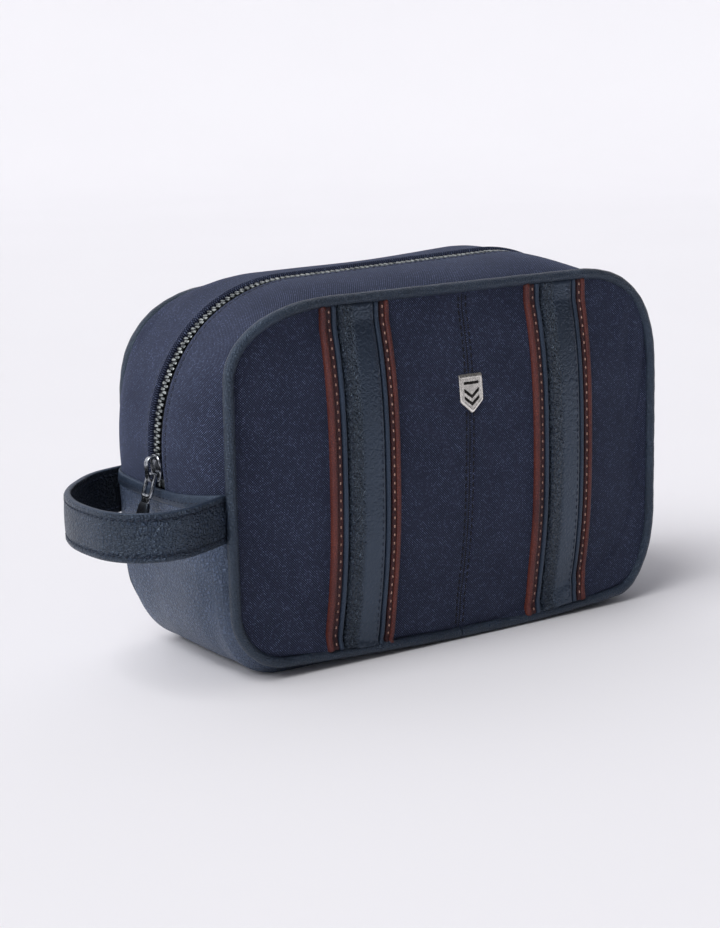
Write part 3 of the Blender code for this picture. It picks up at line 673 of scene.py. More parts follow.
def panel_surface(rim, face):
    """A panel's outer surface: the crown, settled as cloth."""
    grid = panel_grid(rim)
    swell = crown(grid[..., 0], grid[..., 1])
    points = np.stack([grid[..., 0], face * (RIM_Y + swell), grid[..., 1]], axis=-1)
    scratch = make_mesh("settling", points.reshape(-1, 3), grid_faces(*grid.shape[:2]), CANVAS)
    border = np.zeros(grid.shape[:2], bool)
    border[[0, -1], :] = True
    border[:, [0, -1]] = True
    settled = settle_cloth(scratch, np.flatnonzero(border.ravel()))
    bpy.data.objects.remove(scratch)
    moved = settled.reshape(points.shape) - points
    reach = np.linalg.norm(moved, axis=-1, keepdims=True)
    return points + moved * np.minimum(1.0, LARGEST_MOVE / np.maximum(reach, 1e-6))


class Surface:
    """Depth of a panel's outer surface at any x and z."""

    def __init__(self, points, face):
        self.face = face
        rows, columns = points.shape[:2]
        flat = [Vector(p) for p in points.reshape(-1, 3)]
        self.tree = BVHTree.FromPolygons(flat, grid_faces(rows, columns))

    def depth(self, x, z):
        hit = self.tree.ray_cast(Vector((x, self.face * 200.0, z)), Vector((0.0, -self.face, 0.0)))[0]
        return self.face * hit.y if hit else RIM_Y - 0.4

    def points(self, xs, zs, lift=0.0):
        xs, zs, lift = np.broadcast_arrays(*(np.asarray(values, float) for values in (xs, zs, lift)))
        depths = np.array([self.depth(x, z) for x, z in zip(xs.ravel(), zs.ravel())]).reshape(xs.shape)
        return np.stack([xs, self.face * (depths + lift), zs], axis=-1)


def seam_x(z):
    """The middle seam runs a little to the right on its way up."""
    return SEAM_X + SEAM_LEAN * (z - RIM_LOW) / (RIM_HIGH - RIM_LOW)


def canvas_panel(name, rim, face, seam, replaced):
    """A panel of canvas, with the middle seam's valley in it where it has one."""
    points = panel_surface(rim, face)
    if seam:
        away = np.abs(points[..., 0] - seam_x(points[..., 2]))
        valley = 0.6 * np.exp(-(away / 0.6) ** 2) + 0.35 * np.exp(-((away - SEAM_STITCH) / 0.6) ** 2)
        points[..., 1] -= face * valley
    inner = points.copy()
    inner[..., 1] -= face * 1.2
    uvs = points[..., [0, 2]]
    made = sheet_mesh(name, points, inner, CANVAS, uvs, body="bag")
    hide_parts(*replaced)
    return Surface(points, face)


front = canvas_panel("front_canvas", FRONT_RIM, -1, True, ["front_panel_left", "front_panel_right"])
back = canvas_panel("back_canvas", BACK_RIM, 1, False, ["back_panel"])


# ---------------------------------------------------------------- strips on the front

def strip_rows(x_low, x_high, inset, count):
    """Heights of a strip's rows at each of its two sides, from edge to edge of the panel."""
    shares = np.linspace(0.0, 1.0, count)
    sides = []
    for x in (x_low, x_high):
        low, high = panel_edge(FRONT_RIM, x, inset)
        sides.append(low + (high - low) * shares)
    return sides


def strip(name, x_low, x_high, base, height, roll, material, replaced, inset=1.6, rows=150):
    """A strip lying on the front, with rolled sides and a top that follows the panel."""
    profile = []
    for turn in np.linspace(0.0, 0.5 * math.pi, 5):
        profile.append((roll * (1.0 - math.sin(0.5 * math.pi - turn)), math.sin(turn)))
    width = x_high - x_low
    across = [p[0] for p in profile]
    across += list(np.linspace(roll, width - roll, 7)[1:-1])
    across += [width - p[0] for p in reversed(profile)]
    rises = [p[1] for p in profile] + [1.0] * 5 + [p[1] for p in reversed(profile)]
    left, right = strip_rows(x_low, x_high, inset, rows)
    share = np.array(across)[None, :] / width
    zs = left[:, None] + (right - left)[:, None] * share
    xs = np.broadcast_to(x_low + np.array(across)[None, :], zs.shape)
    lift = base + height * np.array(rises)[None, :]
    top = front.points(xs, zs, np.broadcast_to(lift, zs.shape))
    under = front.points(xs, zs, base - 0.5)
    uvs = np.stack([xs, zs], axis=-1)
    made = sheet_mesh(name, top, under, material, uvs, body="bag", sharp=60.0)
    if replaced:
        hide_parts(*replaced)
    return made


def strip_line(x, inset=3.2, lift=0.0, count=160, lean=0.0):
    low, high = panel_edge(FRONT_RIM, x, inset)
    zs = np.linspace(high, low, count)
    line = front.points(x + lean * (zs - RIM_LOW) / (RIM_HIGH - RIM_LOW), zs, lift)
    slope = np.gradient(line, axis=0)
    outward = unit(np.cross(np.broadcast_to([1.0, 0.0, 0.0], line.shape), slope))
    outward *= np.sign(-outward[:, 1:2])
    return line, outward


groups = {"left": 0.0, "right": GROUP_SPACING}
tan_lines = []
slate_lines = []
for side, shift in groups.items():
    strip(f"wide_trim_{side}_look", shift - 73.6, shift - 70.4, 0.3, 2.1, 1.6, BROWN,
          [f"wide_trim_{side}"])
    strip(f"wide_trim_{side}_edge", shift - 70.7, shift - 67.7, 0.3, 0.9, 0.5, BROWN_FLAT,
          [])
    strip(f"band_{side}_edge_left", shift - 67.5, shift - 65.0, 0.3, 1.6, 1.0, SLATE_SMOOTH,
          [])
    strip(f"band_{side}_look", shift + BAND_LEFT, shift - 45.4, 0.2, 1.6, 1.2, SLATE_BAND,
          [f"band_{side}"])
    strip(f"band_{side}_edge_right", shift - 45.0, shift - 42.5, 0.3, 1.3, 0.9, SLATE_SMOOTH,
          [])
    strip(f"narrow_trim_{side}_edge", shift - 41.9, shift - 39.5, 0.3, 1.0, 0.6, BROWN_FLAT,
          [])
    strip(f"narrow_trim_{side}_look", shift - 39.7, shift - 37.0, 0.3, 1.7, 1.2, BROWN,
          [f"narrow_trim_{side}"])
    tan_lines.append(strip_line(shift - 69.1, lift=1.25))
    tan_lines.append(strip_line(shift - 40.7, lift=1.35))
    slate_lines.append(strip_line(shift - 62.6, lift=1.85))
    slate_lines.append(strip_line(shift - 47.2, lift=1.85))

stitch_mesh("trim_stitches", tan_lines, TAN_THREAD, length=1.5, pitch=3.95, radius=0.34, body="bag")
stitch_mesh("band_stitches", slate_lines, SLATE_THREAD, length=2.4, pitch=3.4, radius=0.28, body="bag")
seam_lines = [strip_line(SEAM_X + offset, lift=0.1, lean=SEAM_LEAN)
              for offset in (-SEAM_STITCH, SEAM_STITCH)]
stitch_mesh("seam_stitches", seam_lines, NAVY_THREAD, length=2.5, pitch=3.3, radius=0.42, body="bag")


def seam_painted_shade():
    """A narrow dark strip laid in the middle seam's valley as painted shade, where the two front halves meet.
    """
    line, outward = strip_line(SEAM_X, lean=SEAM_LEAN)
    sides = unit(np.cross(np.gradient(line, axis=0), outward))
    section = ((0.32, 0.12), (0.0, 0.26), (-0.32, 0.12), (-0.2, -0.5), (0.2, -0.5))
    rings = [[place + side * across + out * lift for across, lift in section]
             for place, side, out in zip(line, sides, outward)]
    # Painted shade: a near-black strip along the seam's valley.
    made = sweep_mesh("seam_painted_shade", rings, NAVY_THREAD, body="bag")


seam_painted_shade()


# ---------------------------------------------------------------- piping

def piping(name, rim, face, start, replaced):
    """The cord in its leather sleeve, slightly uneven, with its two ends butted at the bottom."""
    angles = np.linspace(start, start + 359.7, 620)
    path = on_outline(rim, angles)
    centre = np.stack([path[:, 0], np.full(len(path), face * RIM_Y), path[:, 1]], axis=1)
    along = unit(np.gradient(centre, axis=0))
    side = np.cross(along, [0.0, 1.0, 0.0])
    sunk = side * np.sign(np.sum(side * (centre - centre.mean(axis=0)), axis=1))[:, None]
    centre = centre - sunk * (BACK_PIPING_SUNK if face > 0 else 0.0)
    total = np.concatenate([[0.0], np.cumsum(np.linalg.norm(np.diff(centre, axis=0), axis=1))])
    rings = []
    for k in range(len(centre)):
        wander = 0.05 * math.sin(total[k] * 0.31) + 0.04 * math.sin(total[k] * 0.83 + 1.0)
        radius = PIPING_RADIUS + wander
        ring = [centre[k] + radius * (side[k] * math.cos(t) + np.array([0.0, 1.0, 0.0]) * math.sin(t))
                for t in np.linspace(0.0, 2.0 * math.pi, 20, endpoint=False)]
        rings.append(ring)
    made = sweep_mesh(name, rings, PIPING, body="bag")
    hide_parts(*replaced)


piping("front_piping_look", FRONT_RIM, -1, 271.2, ["front_piping"])
piping("back_piping_look", BACK_RIM, 1, 270.0, ["back_piping"])


# ---------------------------------------------------------------- gusset, zip and leather base

def half_grid(face, half, depths, lifts, above, count):
    """One half of the gusset strip, from the hem up to the middle of the top."""
    ys = face * np.array(depths)
    if half == "left":
        starts, stops = (lambda y: top_angle(y, MIDDLE_X)), (lambda y: left_hem(y, above))
    else:
        starts, stops = (lambda y: right_hem(y, above)), (lambda y: top_angle(y, MIDDLE_X))
    angles = gusset_angles(ys, starts, stops, count)
    return gusset_points(angles, np.broadcast_to(ys, angles.shape), np.broadcast_to(lifts, angles.shape))


def grid_uvs(points, depths):
    along = lengths_along(points)
    return np.stack(np.meshgrid(along, np.array(depths), indexing="ij"), axis=-1)


def blend_flap(made):
    """Bake a piece of the top's placement into its mesh."""
    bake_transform(made)


def gusset_half(face, half):
    """Canvas, zip tape, stitches and teeth of one quarter of the gusset. The back lip stands prouder."""
    side = "front" if face < 0 else "back"
    depths = [4.2, 4.3, 4.7, 5.4, 6.6, 7.6, 8.6, 11, 15, 19, 23, 27, 31, 34, 36.5, 38.5, 40,
              41.2, 42.2, 43.2, 44.4]
    bulge = np.array([-0.5, -0.1, 0.2, 0.4, 0.45, 0.2, 0.35, 0.4, 0.4, 0.4, 0.4, 0.4, 0.35, 0.3,
                      0.25, 0.2, 0.1, 0.0, -0.1, -0.4, -1.0])
    if face > 0:
        bulge[1:7] += [0.3, 0.8, 1.1, 0.9, 0.5, 0.2]
        bulge[-6:] += [0.3, 0.6, 0.8, 1.0, 1.0, 0.6]
    outer = half_grid(face, half, depths, bulge, -3.0, 190)
    inner = half_grid(face, half, depths, np.minimum(bulge, 0.0) - 1.0, -3.0, 190)
    made = sheet_mesh(f"{side}_gusset_{half}_look", outer, inner, CANVAS, grid_uvs(outer, depths))
    nodes = [f"{side}_gusset_{half}"]
    if half == "left":
        nodes.append(f"{side}_gusset_flap")
    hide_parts(*nodes)
    blend_flap(made)

    depths = [1.6, 1.7, 3.0, 5.0, 8.0, 11.0]
    lifts = np.array([-1.5, -1.15, -1.05, -1.1, -1.2, -1.3])
    outer = half_grid(face, half, depths, lifts, -3.0, 150)
    inner = half_grid(face, half, depths, lifts - 0.6, -3.0, 150)
    made = sheet_mesh(f"{side}_tape_{half}_look", outer, inner, TAPE, grid_uvs(outer, depths))
    nodes = [f"{side}_tape_{half}"]
    if half == "left":
        nodes.append(f"{side}_tape_flap")
    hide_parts(*nodes)
    blend_flap(made)

    level = 0.25 + (0.5 if face > 0 else 0.0)
    line = half_grid(face, half, [7.6], [level], 3.0, 400)[:, 0]
    above = half_grid(face, half, [7.6], [level + 1.0], 3.0, 400)[:, 0]
    made = stitch_mesh(f"{side}_zip_stitches_{half}", [(line, unit(above - line))], NAVY_THREAD, length=2.7,
                       pitch=3.4, radius=0.26)
    blend_flap(made)
    teeth(face, half)


def teeth(face, half):
    """Moulded teeth clasped on the tape's edge: those of the two sides alternate."""
    side = "front" if face < 0 else "back"
    line = half_grid(face, half, [0.0], [0.0], 4.0, 500)[:, 0]
    above = half_grid(face, half, [0.0], [1.0], 4.0, 500)[:, 0]
    offset = 0.5 * TOOTH_PITCH if (face > 0) else 0.0
    centres, places = resample(line, TOOTH_PITCH, offset + 1.0)
    total = np.concatenate([[0.0], np.cumsum(np.linalg.norm(np.diff(line, axis=0), axis=1))])
    up_line = unit(above - line)
    headings = unit(np.gradient(line, axis=0))
    outline = [(0.75, 0.3), (0.35, 0.55), (-0.5, 0.6), (-1.8, 0.72), (-2.6, 0.55)]
    points = []
    faces = []
    for centre, place in zip(centres, places):
        up = unit(np.array([np.interp(place, total, up_line[:, k]) for k in range(3)]))
        along = unit(np.array([np.interp(place, total, headings[:, k]) for k in range(3)]))
        first = len(points)
        rim_loop = outline + [(a, -w) for a, w in reversed(outline)]
        for level, shrink in ((-1.4, 0.9), (0.3, 1.0), (0.65, 0.85), (0.8, 0.5)):
            for a, w in rim_loop:
                middle = -0.9
                y = -face * (middle + (a - middle) * (0.6 + 0.4 * shrink))
                points.append(centre + np.array([0.0, y, 0.0]) + up * (level - 0.5) + along * w * shrink)
        size = len(rim_loop)
        for ring in range(3):
            for k in range(size):
                after = (k + 1) % size
                faces.append([first + ring * size + k, first + ring * size + after,
                              first + (ring + 1) * size + after, first + (ring + 1) * size + k])
        faces.append([first + k for k in range(size - 1, -1, -1)])
        faces.append([first + 3 * size + k for k in range(size)])
    made = make_mesh(f"{side}_teeth_{half}_look", points, faces, TEETH_METAL, sharp=35.0)
    nodes = [f"{side}_teeth_{half}"]
    if half == "left":
        nodes.append(f"{side}_teeth_flap")
    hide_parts(*nodes)
    blend_flap(made)


for face in (-1, 1):
    for half in ("left", "right"):
        gusset_half(face, half)


def soft_dents(points):
    """How far the soft ends of the base sink: a long crease by the front seam and shallower ones behind."""
    y, z = points[..., 1], points[..., 2]
    fade = np.exp(-((z - 36.0) / 24.0) ** 2)
    slant = 0.22 * (z - 40.0)
    crease = 2.4 * np.exp(-((y + 31.0 + slant) / 5.0) ** 2)
    hollow = 1.2 * np.exp(-((y - 22.0 + slant) / 8.0) ** 2)
    swell = -0.6 * np.exp(-((y + 12.0 + slant) / 9.0) ** 2)
    return fade * (crease + hollow + swell)


def base_leather():
    """The leather round the bottom, from hem to hem, with a folded upper edge at each end."""
    depths = np.array([-44.4, -43.6, -42.5, -40, -36, -30, -24, -18, -12, -6, 0,
                       6, 12, 18, 24, 30, 36, 40, 42.5, 43.6, 44.4])
    lifts = np.interp(np.abs(depths), [40.0, 42.5, 43.6, 44.4], [0.9, 0.7, 0.2, -0.9])
    angles = gusset_angles(depths, lambda y: left_hem(y, 0.0), lambda y: right_hem(y, 0.0) + 360.0, 240)
    ys = np.broadcast_to(depths, angles.shape)
    lifts = lifts - soft_dents(gusset_points(angles, ys))
    outer = gusset_points(angles, ys, lifts)
    inner = gusset_points(angles, ys, lifts - 1.2)
    # The base leather uses the lighter slate, which is painted light.
    made = sheet_mesh("base_leather_look", outer, inner, SLATE_PAINTED_LIT, grid_uvs(outer, depths), body="bag")
    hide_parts("base_leather")
    for name, place in (("left", left_hem), ("right", right_hem)):
        rings = []
        line = []
        for y in np.linspace(-43.2, 43.2, 90):
            fold = [(0.6, 0.2), (0.75, 0.9), (0.6, 1.5), (0.0, 1.85),
                    (-2.4, 1.85), (-4.4, 1.7), (-5.2, 1.3), (-5.4, 0.6)]
            ring = [gusset_points(place(y, above), y, lift) for above, lift in fold]
            rings.append(np.array(ring))
            line.append((gusset_points(place(y, -2.9), y, 1.9), gusset_points(place(y, -2.9), y, 2.9)))
        made = sweep_mesh(f"{name}_hem_look", rings, SLATE_SMOOTH, body="bag", sharp=70.0)
        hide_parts(f"{name}_hem_fold")
        points = np.array([pair[0] for pair in line])
        normals = np.array([pair[1] for pair in line]) - points
        stitch_mesh(f"{name}_hem_stitches", [(points, normals)], SLATE_THREAD, length=2.4, pitch=3.2,
                    radius=0.25, body="bag")


base_leather()


# ---------------------------------------------------------------- wrist strap

def curve_through(points, steps):
    """A smooth line through every point."""
    path = np.array(points, float)
    made = []
    for share in np.linspace(0.0, len(path) - 1.0, steps):
        k = min(int(share), len(path) - 2)
        u = share - k
        before = path[max(k - 1, 0)]
        after = path[min(k + 2, len(path) - 1)]
        a, b = path[k], path[k + 1]
        made.append(0.5 * (2 * a + (b - before) * u + (2 * before - 5 * a + 4 * b - after) * u * u
                           + (3 * a - before - 3 * b + after) * u ** 3))
    return np.array(made)


def strap():
    """One loop of doubled leather, stitched near both edges, with coated edges."""
    middle = curve_through(STRAP_PATH, 170)
    step = unit(np.gradient(middle, axis=0))
    outward = np.stack([-step[:, 1], step[:, 0]], axis=1)
    outward *= np.sign(np.sum(outward * (middle - np.array([-145.0, -8.0])), axis=1))[:, None]
    half = 0.5 * STRAP_WIDTH
    half_heights = [0.3, 0.6, 0.73, 0.77, 0.84, 0.93, 1.0]
    half_rises = [0.3, 0.15, -0.25, -0.3, 0.15, 0.1, -0.3]
    face_heights = np.array([-h for h in reversed(half_heights)] + [0.0] + half_heights)
    face_rises = np.array(half_rises[::-1] + [0.35] + half_rises)
    section = [(1.55 + r, h * half) for h, r in zip(face_heights, face_rises)]
    section += [(0.7, half + 0.35), (0.0, half + 0.45), (-0.7, half + 0.35)]
    section += [(-1.4 - 0.4 * r, h * half) for h, r in zip(face_heights[::-1], face_rises[::-1])]
    section += [(-0.7, -half - 0.35), (0.0, -half - 0.45), (0.7, -half - 0.35)]
    count = len(face_heights)
    rings = []
    for point, normal in zip(middle, outward):
        rings.append([(point[0] + normal[0] * n, point[1] + normal[1] * n, STRAP_Z + z) for n, z in section])
    made = sweep_mesh("strap_look", rings, SLATE, sharp=60.0)
    made.data.materials.append(STRAP_INSIDE)
    made.data.materials.append(SLATE_SMOOTH)
    size = len(section)
    for polygon in made.data.polygons[:(len(rings) - 1) * size]:
        k = polygon.index % size
        if k < count - 1:
            polygon.material_index = 0
        elif count + 3 <= k < 2 * count + 2:
            polygon.material_index = 1
        else:
            polygon.material_index = 2
    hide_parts("strap_outer", "strap_inner", "strap_root_front", "strap_root_back")
    lines = []
    for height in (-half + 2.5, half - 2.5):
        line = np.stack([middle[:, 0] + outward[:, 0] * 1.5, middle[:, 1] + outward[:, 1] * 1.5,
                         np.full(len(middle), STRAP_Z + height)], axis=1)
        normals = np.stack([outward[:, 0], outward[:, 1], np.zeros(len(middle))], axis=1)
        lines.append((line, normals))
        inside = line - normals * 2.95
        lines.append((inside, -normals))
    stitches = stitch_mesh("strap_stitches", lines, SLATE_THREAD, length=2.2, pitch=3.1, radius=0.34)
    for piece in (made, stitches):
        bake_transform(piece)


strap()


# ---------------------------------------------------------------- slider and puller

def zip_point(along, y, lift):
    """A point by the slider at rest: along the chain, across it, and out from it."""
    turn = math.radians(SLIDER_REST_ANGLE)
    out = np.array([math.cos(turn), math.sin(turn)])
    up = np.array([-out[1], out[0]]) * (1.0 if out[0] > 0 else -1.0)
    place = np.array([-ZIP_ARC_X, ZIP_ARC_Z]) + out * ZIP_ARC_RADIUS + up * along + out * lift
    return np.array([place[0], y, place[1]])


def pull_point(down, y, out):
    """A point of the puller, measured down its length from the pivot."""
    pivot = zip_point(PIVOT_ALONG, 0.0, PIVOT_LIFT)
    lean = math.radians(PULL_LEAN)
    sideways = down * math.sin(math.radians(PULL_TWIST))
    return pivot + np.array([-down * math.sin(lean) - out * math.cos(lean), y + sideways,
                             -down * math.cos(lean) + out * math.sin(lean)])


def rounded(half_long, half_wide, power=3.0, count=28, narrow=0.0):
    """A rounded outline; narrow tapers the end with negative first coordinate."""
    made = []
    for turn in np.linspace(0.0, 2.0 * math.pi, count, endpoint=False):
        c, s = math.cos(turn), math.sin(turn)
        a = half_long * math.copysign(abs(c) ** (2.0 / power), c)
        b = half_wide * math.copysign(abs(s) ** (2.0 / power), s)
        made.append((a, b * (1.0 - narrow * max(0.0, -a / half_long))))
    return made


def plate(name, point, outline, layers, material, body):
    """A rounded plate: layers are (level, shrink) from its underside to its top."""
    rings = []
    for level, shrink in layers:
        rings.append([point(a * shrink, b * shrink, level) for a, b in outline])
    return sweep_mesh(name, rings, material, body=body, sharp=35.0)


def bar(name, path, tall, wide, point, material, body, closed=False, power=3.0):
    """A bar of rounded section bent along a path of (along, lift) or (down, y) pairs."""
    path = np.array(path, float)
    step = np.roll(path, -1, axis=0) - np.roll(path, 1, axis=0) if closed else np.gradient(path, axis=0)
    step = unit(step)
    rings = []
    for place, heading in zip(path, step):
        normal = np.array([-heading[1], heading[0]])
        ring = []
        for a, b in rounded(0.5 * tall, 0.5 * wide, power, 14):
            spot = place + normal * a
            ring.append(point(spot[0], b, spot[1]))
        rings.append(ring)
    return sweep_mesh(name, rings, material, closed=closed, body=body, sharp=35.0)


def smooth_path(corners, radius, closed=False, steps=6):
    """A polyline with its corners rounded."""
    corners = [np.array(c, float) for c in corners]
    made = []
    count = len(corners)
    for k, corner in enumerate(corners):
        if not closed and k in (0, count - 1):
            made.append(corner)
            continue
        before = corners[k - 1] - corner
        after = corners[(k + 1) % count] - corner
        reach = min(radius, 0.49 * np.linalg.norm(before), 0.49 * np.linalg.norm(after))
        a = corner + before / np.linalg.norm(before) * reach
        b = corner + after / np.linalg.norm(after) * reach
        for share in np.linspace(0.0, 1.0, steps):
            made.append((1 - share) ** 2 * a + 2 * share * (1 - share) * corner + share ** 2 * b)
    return made


def slider():
    top = plate("slider_top", zip_point, rounded(6.2, 4.4, 2.7, 36, 0.12),
                [(0.1, 0.9), (0.1, 0.98), (0.4, 1.0), (1.0, 1.0), (1.35, 0.95), (1.5, 0.85), (1.25, 0.78),
                 (1.2, 0.6), (1.3, 0.3)], GUNMETAL, "slider")
    under = plate("slider_under", zip_point, rounded(6.0, 4.3, 2.7, 36, 0.12),
                  [(-4.8, 0.9), (-4.7, 0.98), (-4.3, 1.0), (-3.6, 0.98), (-3.5, 0.9)], GUNMETAL, "slider")
    neck = plate("slider_neck", zip_point, rounded(2.0, 0.45, 2.5, 16), [(-3.9, 1.0), (0.6, 1.0)],
                 GUNMETAL, "slider")
    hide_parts("slider_body")
    path = smooth_path([(-5.2, 0.9), (-5.4, 4.4), (-3.2, 5.5), (3.2, 5.5), (5.3, 4.2), (5.2, 0.9)], 1.9)
    crown_bar = bar("slider_bridge", path, 1.3, 3.0, zip_point, GUNMETAL, "slider")
    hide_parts("slider_crown")


def puller():
    def flat_point(down, out, y):
        return pull_point(down, y, out)

    loop = smooth_path([(0.1, -3.2), (0.1, 3.2), (10.4, 3.2), (10.4, -3.2)], 1.3, closed=True)
    link = bar("pull_link_look", loop, 1.5, 1.7, flat_point, GUNMETAL, "puller", closed=True, power=3.5)
    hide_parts("pull_link")
    rings = []
    sections = ((9.2, 3.1, 0.6), (9.6, 3.3, 0.8), (12.0, 3.3, 0.85), (13.8, 2.9, 0.8), (14.6, 2.4, 0.5))
    for down, half, thick in sections:
        rings.append([pull_point(down, a, b) for a, b in rounded(half, thick, 3.0, 24)])
    clasp = sweep_mesh("pull_clasp", rings, GUNMETAL, body="puller", sharp=35.0)
    rings = []
    sections = ((12.8, 2.6, 0.75), (13.2, 3.2, 0.95), (15.2, 4.1, 1.15), (17.0, 4.3, 1.2), (26.0, 4.35, 1.2),
                (34.4, 4.3, 1.2), (35.7, 4.0, 1.1), (36.2, 3.4, 0.8), (36.3, 2.6, 0.5))
    for down, half, thick in sections:
        rings.append([pull_point(down, a, b) for a, b in rounded(half, thick, 3.6, 28)])
    tab = sweep_mesh("pull_tab_look", rings, TAB, body="puller", sharp=50.0)
    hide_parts("pull_tab")


slider()
puller()


# ---------------------------------------------------------------- badge

def shield(half_wide, half_tall, shrink):
    """A shield outline, widest at its top, with straight sides and a pointed foot."""
    corners = [(-half_wide, half_tall), (half_wide, half_tall), (half_wide * 0.98, -0.38 * half_tall),
               (0.0, -half_tall), (-half_wide * 0.98, -0.38 * half_tall)]
    return [(x * shrink, z * shrink) for x, z in smooth_path(corners, 0.9, closed=True, steps=4)]


def badge():
    half_wide, half_tall = 6.6, 9.0
    middle_x = seam_x(BADGE_Z) + 0.4
    level = front.depth(middle_x, BADGE_Z) + 0.1
    slope = (front.depth(middle_x, BADGE_Z + 6.0) - front.depth(middle_x, BADGE_Z - 6.0)) / 12.0

    def place(x, z, out):
        return (middle_x + x, -(level + slope * z + out), BADGE_Z + z)

    layers = [(0.0, 1.0), (0.9, 1.0), (1.25, 0.96), (1.4, 0.9), (1.4, 0.84), (1.15, 0.8)]
    rings = [[place(x, z, out) for x, z in shield(half_wide, half_tall, shrink)] for out, shrink in layers]
    plate_piece = sweep_mesh("badge_plate", rings, SILVER, body="bag", sharp=30.0)
    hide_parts("badge", "badge_washer")
    marks = [[(-4.2, 5.6), (4.2, 5.6), (4.2, 4.3), (-4.2, 4.3)],
             [(-4.2, 2.6), (0.0, -0.6), (4.2, 2.6), (4.2, 1.0), (0.0, -2.2), (-4.2, 1.0)],
             [(-4.2, -0.8), (0.0, -4.0), (4.2, -0.8), (4.2, -2.3), (0.0, -5.6), (-4.2, -2.3)]]
    for number, corners in enumerate(marks, 1):
        outline = smooth_path(corners, 0.35, closed=True, steps=3)
        middle = np.mean(outline, axis=0)
        rings = []
        for out, shrink in ((1.0, 1.0), (1.22, 1.0), (1.26, 0.96)):
            rings.append([place(*(middle + (np.array(p) - middle) * shrink), out) for p in outline])
        mark = sweep_mesh(f"badge_mark_{number}", rings, ENGRAVING, body="bag", sharp=30.0)


badge()


# ---------------------------------------------------------------- inside: lining, ribbon, board and stops

def lining_panel(name, rim, surface, replaced):
    xs = np.linspace(-110.0, 110.0, 45)
    grid = np.zeros((len(xs), 31, 2))
    for i, x in enumerate(xs):
        low, high = panel_edge(rim, x, 8.6)
        grid[i, :, 0] = x
        grid[i, :, 1] = np.linspace(low, high, 31)
    ripple = 0.35 * np.sin(grid[..., 0] * 0.11 + 0.6) * np.sin(grid[..., 1] * 0.07)
    outer = surface.points(grid[..., 0], grid[..., 1], -3.6 + ripple)
    inner = surface.points(grid[..., 0], grid[..., 1], -4.3 + ripple)
    made = sheet_mesh(name, outer, inner, LINING, outer[..., [0, 2]], body="bag")
    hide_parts(*replaced)


lining_panel("lining_front_look", FRONT_RIM, front, ["lining_front", "centre_seam_tape"])
lining_panel("lining_back_look", BACK_RIM, back, ["lining_back"])


def lining_base():
    depths = np.linspace(-39.0, 39.0, 17)
    angles = gusset_angles(depths, lambda y: left_hem(y, -12.0), lambda y: right_hem(y, -12.0) + 360.0, 120)
    ys = np.broadcast_to(depths, angles.shape)
    ripple = 0.3 * np.sin(np.radians(angles) * 9.0) * np.cos(ys * 0.09)
    outer = gusset_points(angles, ys, -4.5 + ripple)
    inner = gusset_points(angles, ys, -5.1 + ripple)
    made = sheet_mesh("lining_base_look", outer, inner, LINING, grid_uvs(outer, depths), body="bag")
    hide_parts("lining_base", "base_board")


lining_base()


def binding(name, rim, face, replaced):
    """Ribbon folded over the seam between a panel and the gusset, inside the bag."""
    angles = np.linspace(0.0, 360.0, 300, endpoint=False)
    path = on_outline(rim, angles)
    step = unit(np.roll(path, -1, axis=0) - np.roll(path, 1, axis=0))
    outward = np.stack([step[:, 1], -step[:, 0]], axis=1)
    rings = []
    for k in range(len(path)):
        ring = []
        wave = 0.15 * math.sin(k * 0.37)
        section = ((-3.4, 1.7), (-3.2, 2.1), (-3.4, 2.6), (-7.6, 3.0), (-8.2, 2.6), (-8.2, 2.0), (-7.6, 1.5))
        for lift, depth in section:
            spot = path[k] + outward[k] * lift
            ring.append((spot[0], face * (RIM_Y - depth - wave), spot[1]))
        rings.append(ring)
    made = sweep_mesh(name, rings, RIBBON, closed=True, body="bag", sharp=60.0)
    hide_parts(*replaced)


binding("front_binding_look", FRONT_RIM, -1, ["front_binding"])
binding("back_binding_look", BACK_RIM, 1, ["back_binding"])


def stop_piece(name, hem, y_low, y_high, replaced):
    rings = []
    for above in np.linspace(0.8, 4.6, 5):
        shrink = 0.85 if above in (0.8, 4.6) else 1.0
        middle = 0.5 * (y_low + y_high)
        ring = []
        for a, b in rounded(1.25, 0.5 * (y_high - y_low), 3.0, 20):
            ring.append(gusset_points(hem(middle, above), middle + b * shrink, -1.5 + a * shrink))
        rings.append(ring)
    made = sweep_mesh(name, rings, TEETH_METAL, body="bag", sharp=40.0)
    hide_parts(replaced)


stop_piece("front_top_stop_look", left_hem, -3.4, -0.6, "front_top_stop")
stop_piece("back_top_stop_look", left_hem, 0.6, 3.4, "back_top_stop")
stop_piece("bottom_stop_look", right_hem, -3.4, 3.4, "bottom_stop")


# ---------------------------------------------------------------- stage, light and camera

CAMERA_AZIMUTH = math.radians(-35.08)
CAMERA_HEIGHT = math.radians(11.76)
CAMERA_ROLL = math.radians(-1.15)
CAMERA_TARGET = Vector((-0.02097, 0.0, 0.07875))
CAMERA_DISTANCE = 1.0025
CAMERA_LENS = 82.75
ROOM_FRONT = 0.12
ROOM_BACK = 0.915


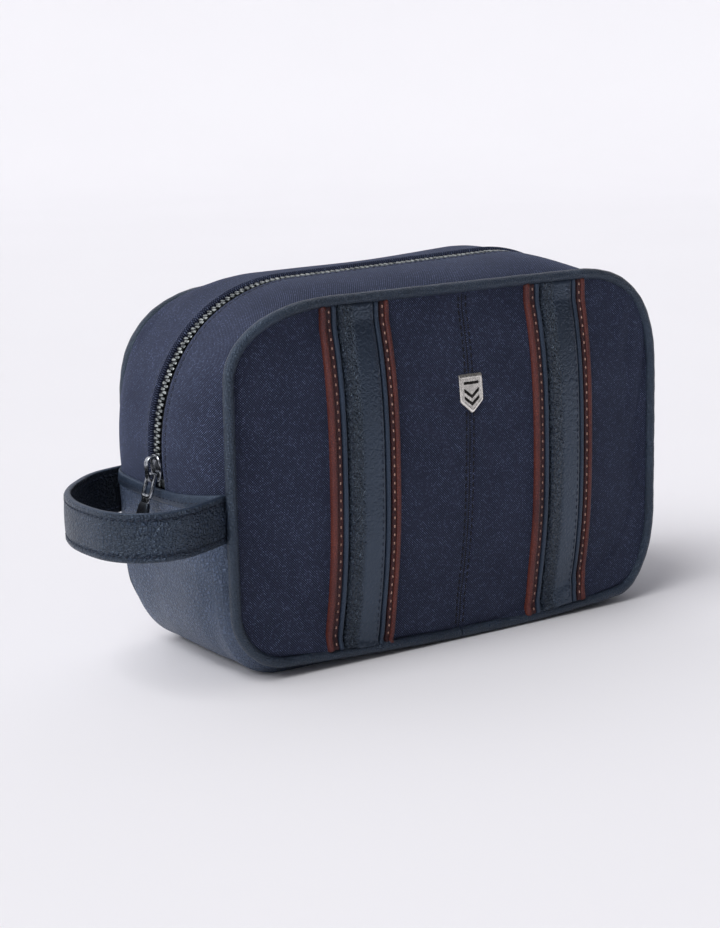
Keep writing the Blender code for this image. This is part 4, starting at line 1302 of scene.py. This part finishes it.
def stage():
    """A pale seamless sweep of paper under and behind the bag."""
    look = Look("paper", roughness=0.9, specular=0.1)
    place = look.object_coordinates()
    tone = look.mix(look.noise(place, 3.0, 2.0), rgb(235, 234, 238), rgb(238, 237, 241))
    paper = look.finish(tone, None, look.bump(look.noise(place, 900.0, 2.0), 0.02, 0.05))
    backward = np.array([-math.sin(CAMERA_AZIMUTH), math.cos(CAMERA_AZIMUTH)])
    across = np.array([backward[1], -backward[0]])
    profile = [(-4000.0, 0.0), (-1500.0, 0.0), (2500.0, 0.0)]
    for turn in np.linspace(0.0, 90.0, 16)[1:]:
        angle = math.radians(turn)
        profile.append((2500.0 + 1500.0 * math.sin(angle), 1500.0 * (1.0 - math.cos(angle))))
    profile.append((4000.0, 3500.0))
    points = []
    for reach, height in profile:
        for side in np.linspace(-5000.0, 5000.0, 5):
            spot = backward * reach + across * side
            points.append((spot[0], spot[1], height - 0.05))
    made = make_mesh("paper_sweep", points, grid_faces(len(profile), 5), paper)


stage()


def sun(name, direction, power, spread):
    """Broad, even light from one direction."""
    data = bpy.data.lights.new(name, "SUN")
    data.energy = power
    data.angle = math.radians(spread)
    made = bpy.data.objects.new(name, data)
    made.rotation_euler = Vector(direction).to_track_quat("Z", "Y").to_euler()
    bpy.context.scene.collection.objects.link(made)


def studio_world():
    """A pale room, brightest behind the bag and to its left, and darker in front."""
    world = bpy.data.worlds.new("studio")
    world.use_nodes = True
    tree = world.node_tree
    place = tree.nodes.new("ShaderNodeTexCoord")
    facing = tree.nodes.new("ShaderNodeVectorMath")
    facing.operation = "DOT_PRODUCT"
    facing.inputs[1].default_value = (-0.62, 0.78, 0.1)
    tree.links.new(place.outputs["Generated"], facing.inputs[0])
    level = tree.nodes.new("ShaderNodeMapRange")
    level.interpolation_type = "SMOOTHSTEP"
    for key, value in (("From Min", -0.5), ("From Max", 0.5), ("To Min", ROOM_FRONT), ("To Max", ROOM_BACK)):
        level.inputs[key].default_value = value
    tree.links.new(facing.outputs["Value"], level.inputs["Value"])
    background = tree.nodes["Background"]
    background.inputs["Color"].default_value = (0.98, 0.972, 1.0, 1.0)
    tree.links.new(level.outputs["Result"], background.inputs["Strength"])
    bpy.context.scene.world = world


studio_world()
sun("key", (-0.62, -0.1, 0.78), 2.0, 40.0)
bpy.context.scene.view_settings.view_transform = "Standard"

camera_data = bpy.data.cameras.new("view")
camera_data.lens = CAMERA_LENS
camera = bpy.data.objects.new("view", camera_data)
toward = Vector((math.sin(CAMERA_AZIMUTH) * math.cos(CAMERA_HEIGHT),
                 -math.cos(CAMERA_AZIMUTH) * math.cos(CAMERA_HEIGHT), math.sin(CAMERA_HEIGHT)))
camera.location = CAMERA_TARGET + toward * CAMERA_DISTANCE
right = Vector((math.cos(CAMERA_AZIMUTH), math.sin(CAMERA_AZIMUTH), 0.0))
up = toward.cross(right)
tilted_right = right * math.cos(CAMERA_ROLL) + up * math.sin(CAMERA_ROLL)
tilted_up = up * math.cos(CAMERA_ROLL) - right * math.sin(CAMERA_ROLL)
turn = camera.matrix_world.to_3x3()
turn.col[0] = tilted_right
turn.col[1] = tilted_up
turn.col[2] = toward
camera.rotation_euler = turn.to_euler()
bpy.context.scene.collection.objects.link(camera)
bpy.context.scene.camera = camera
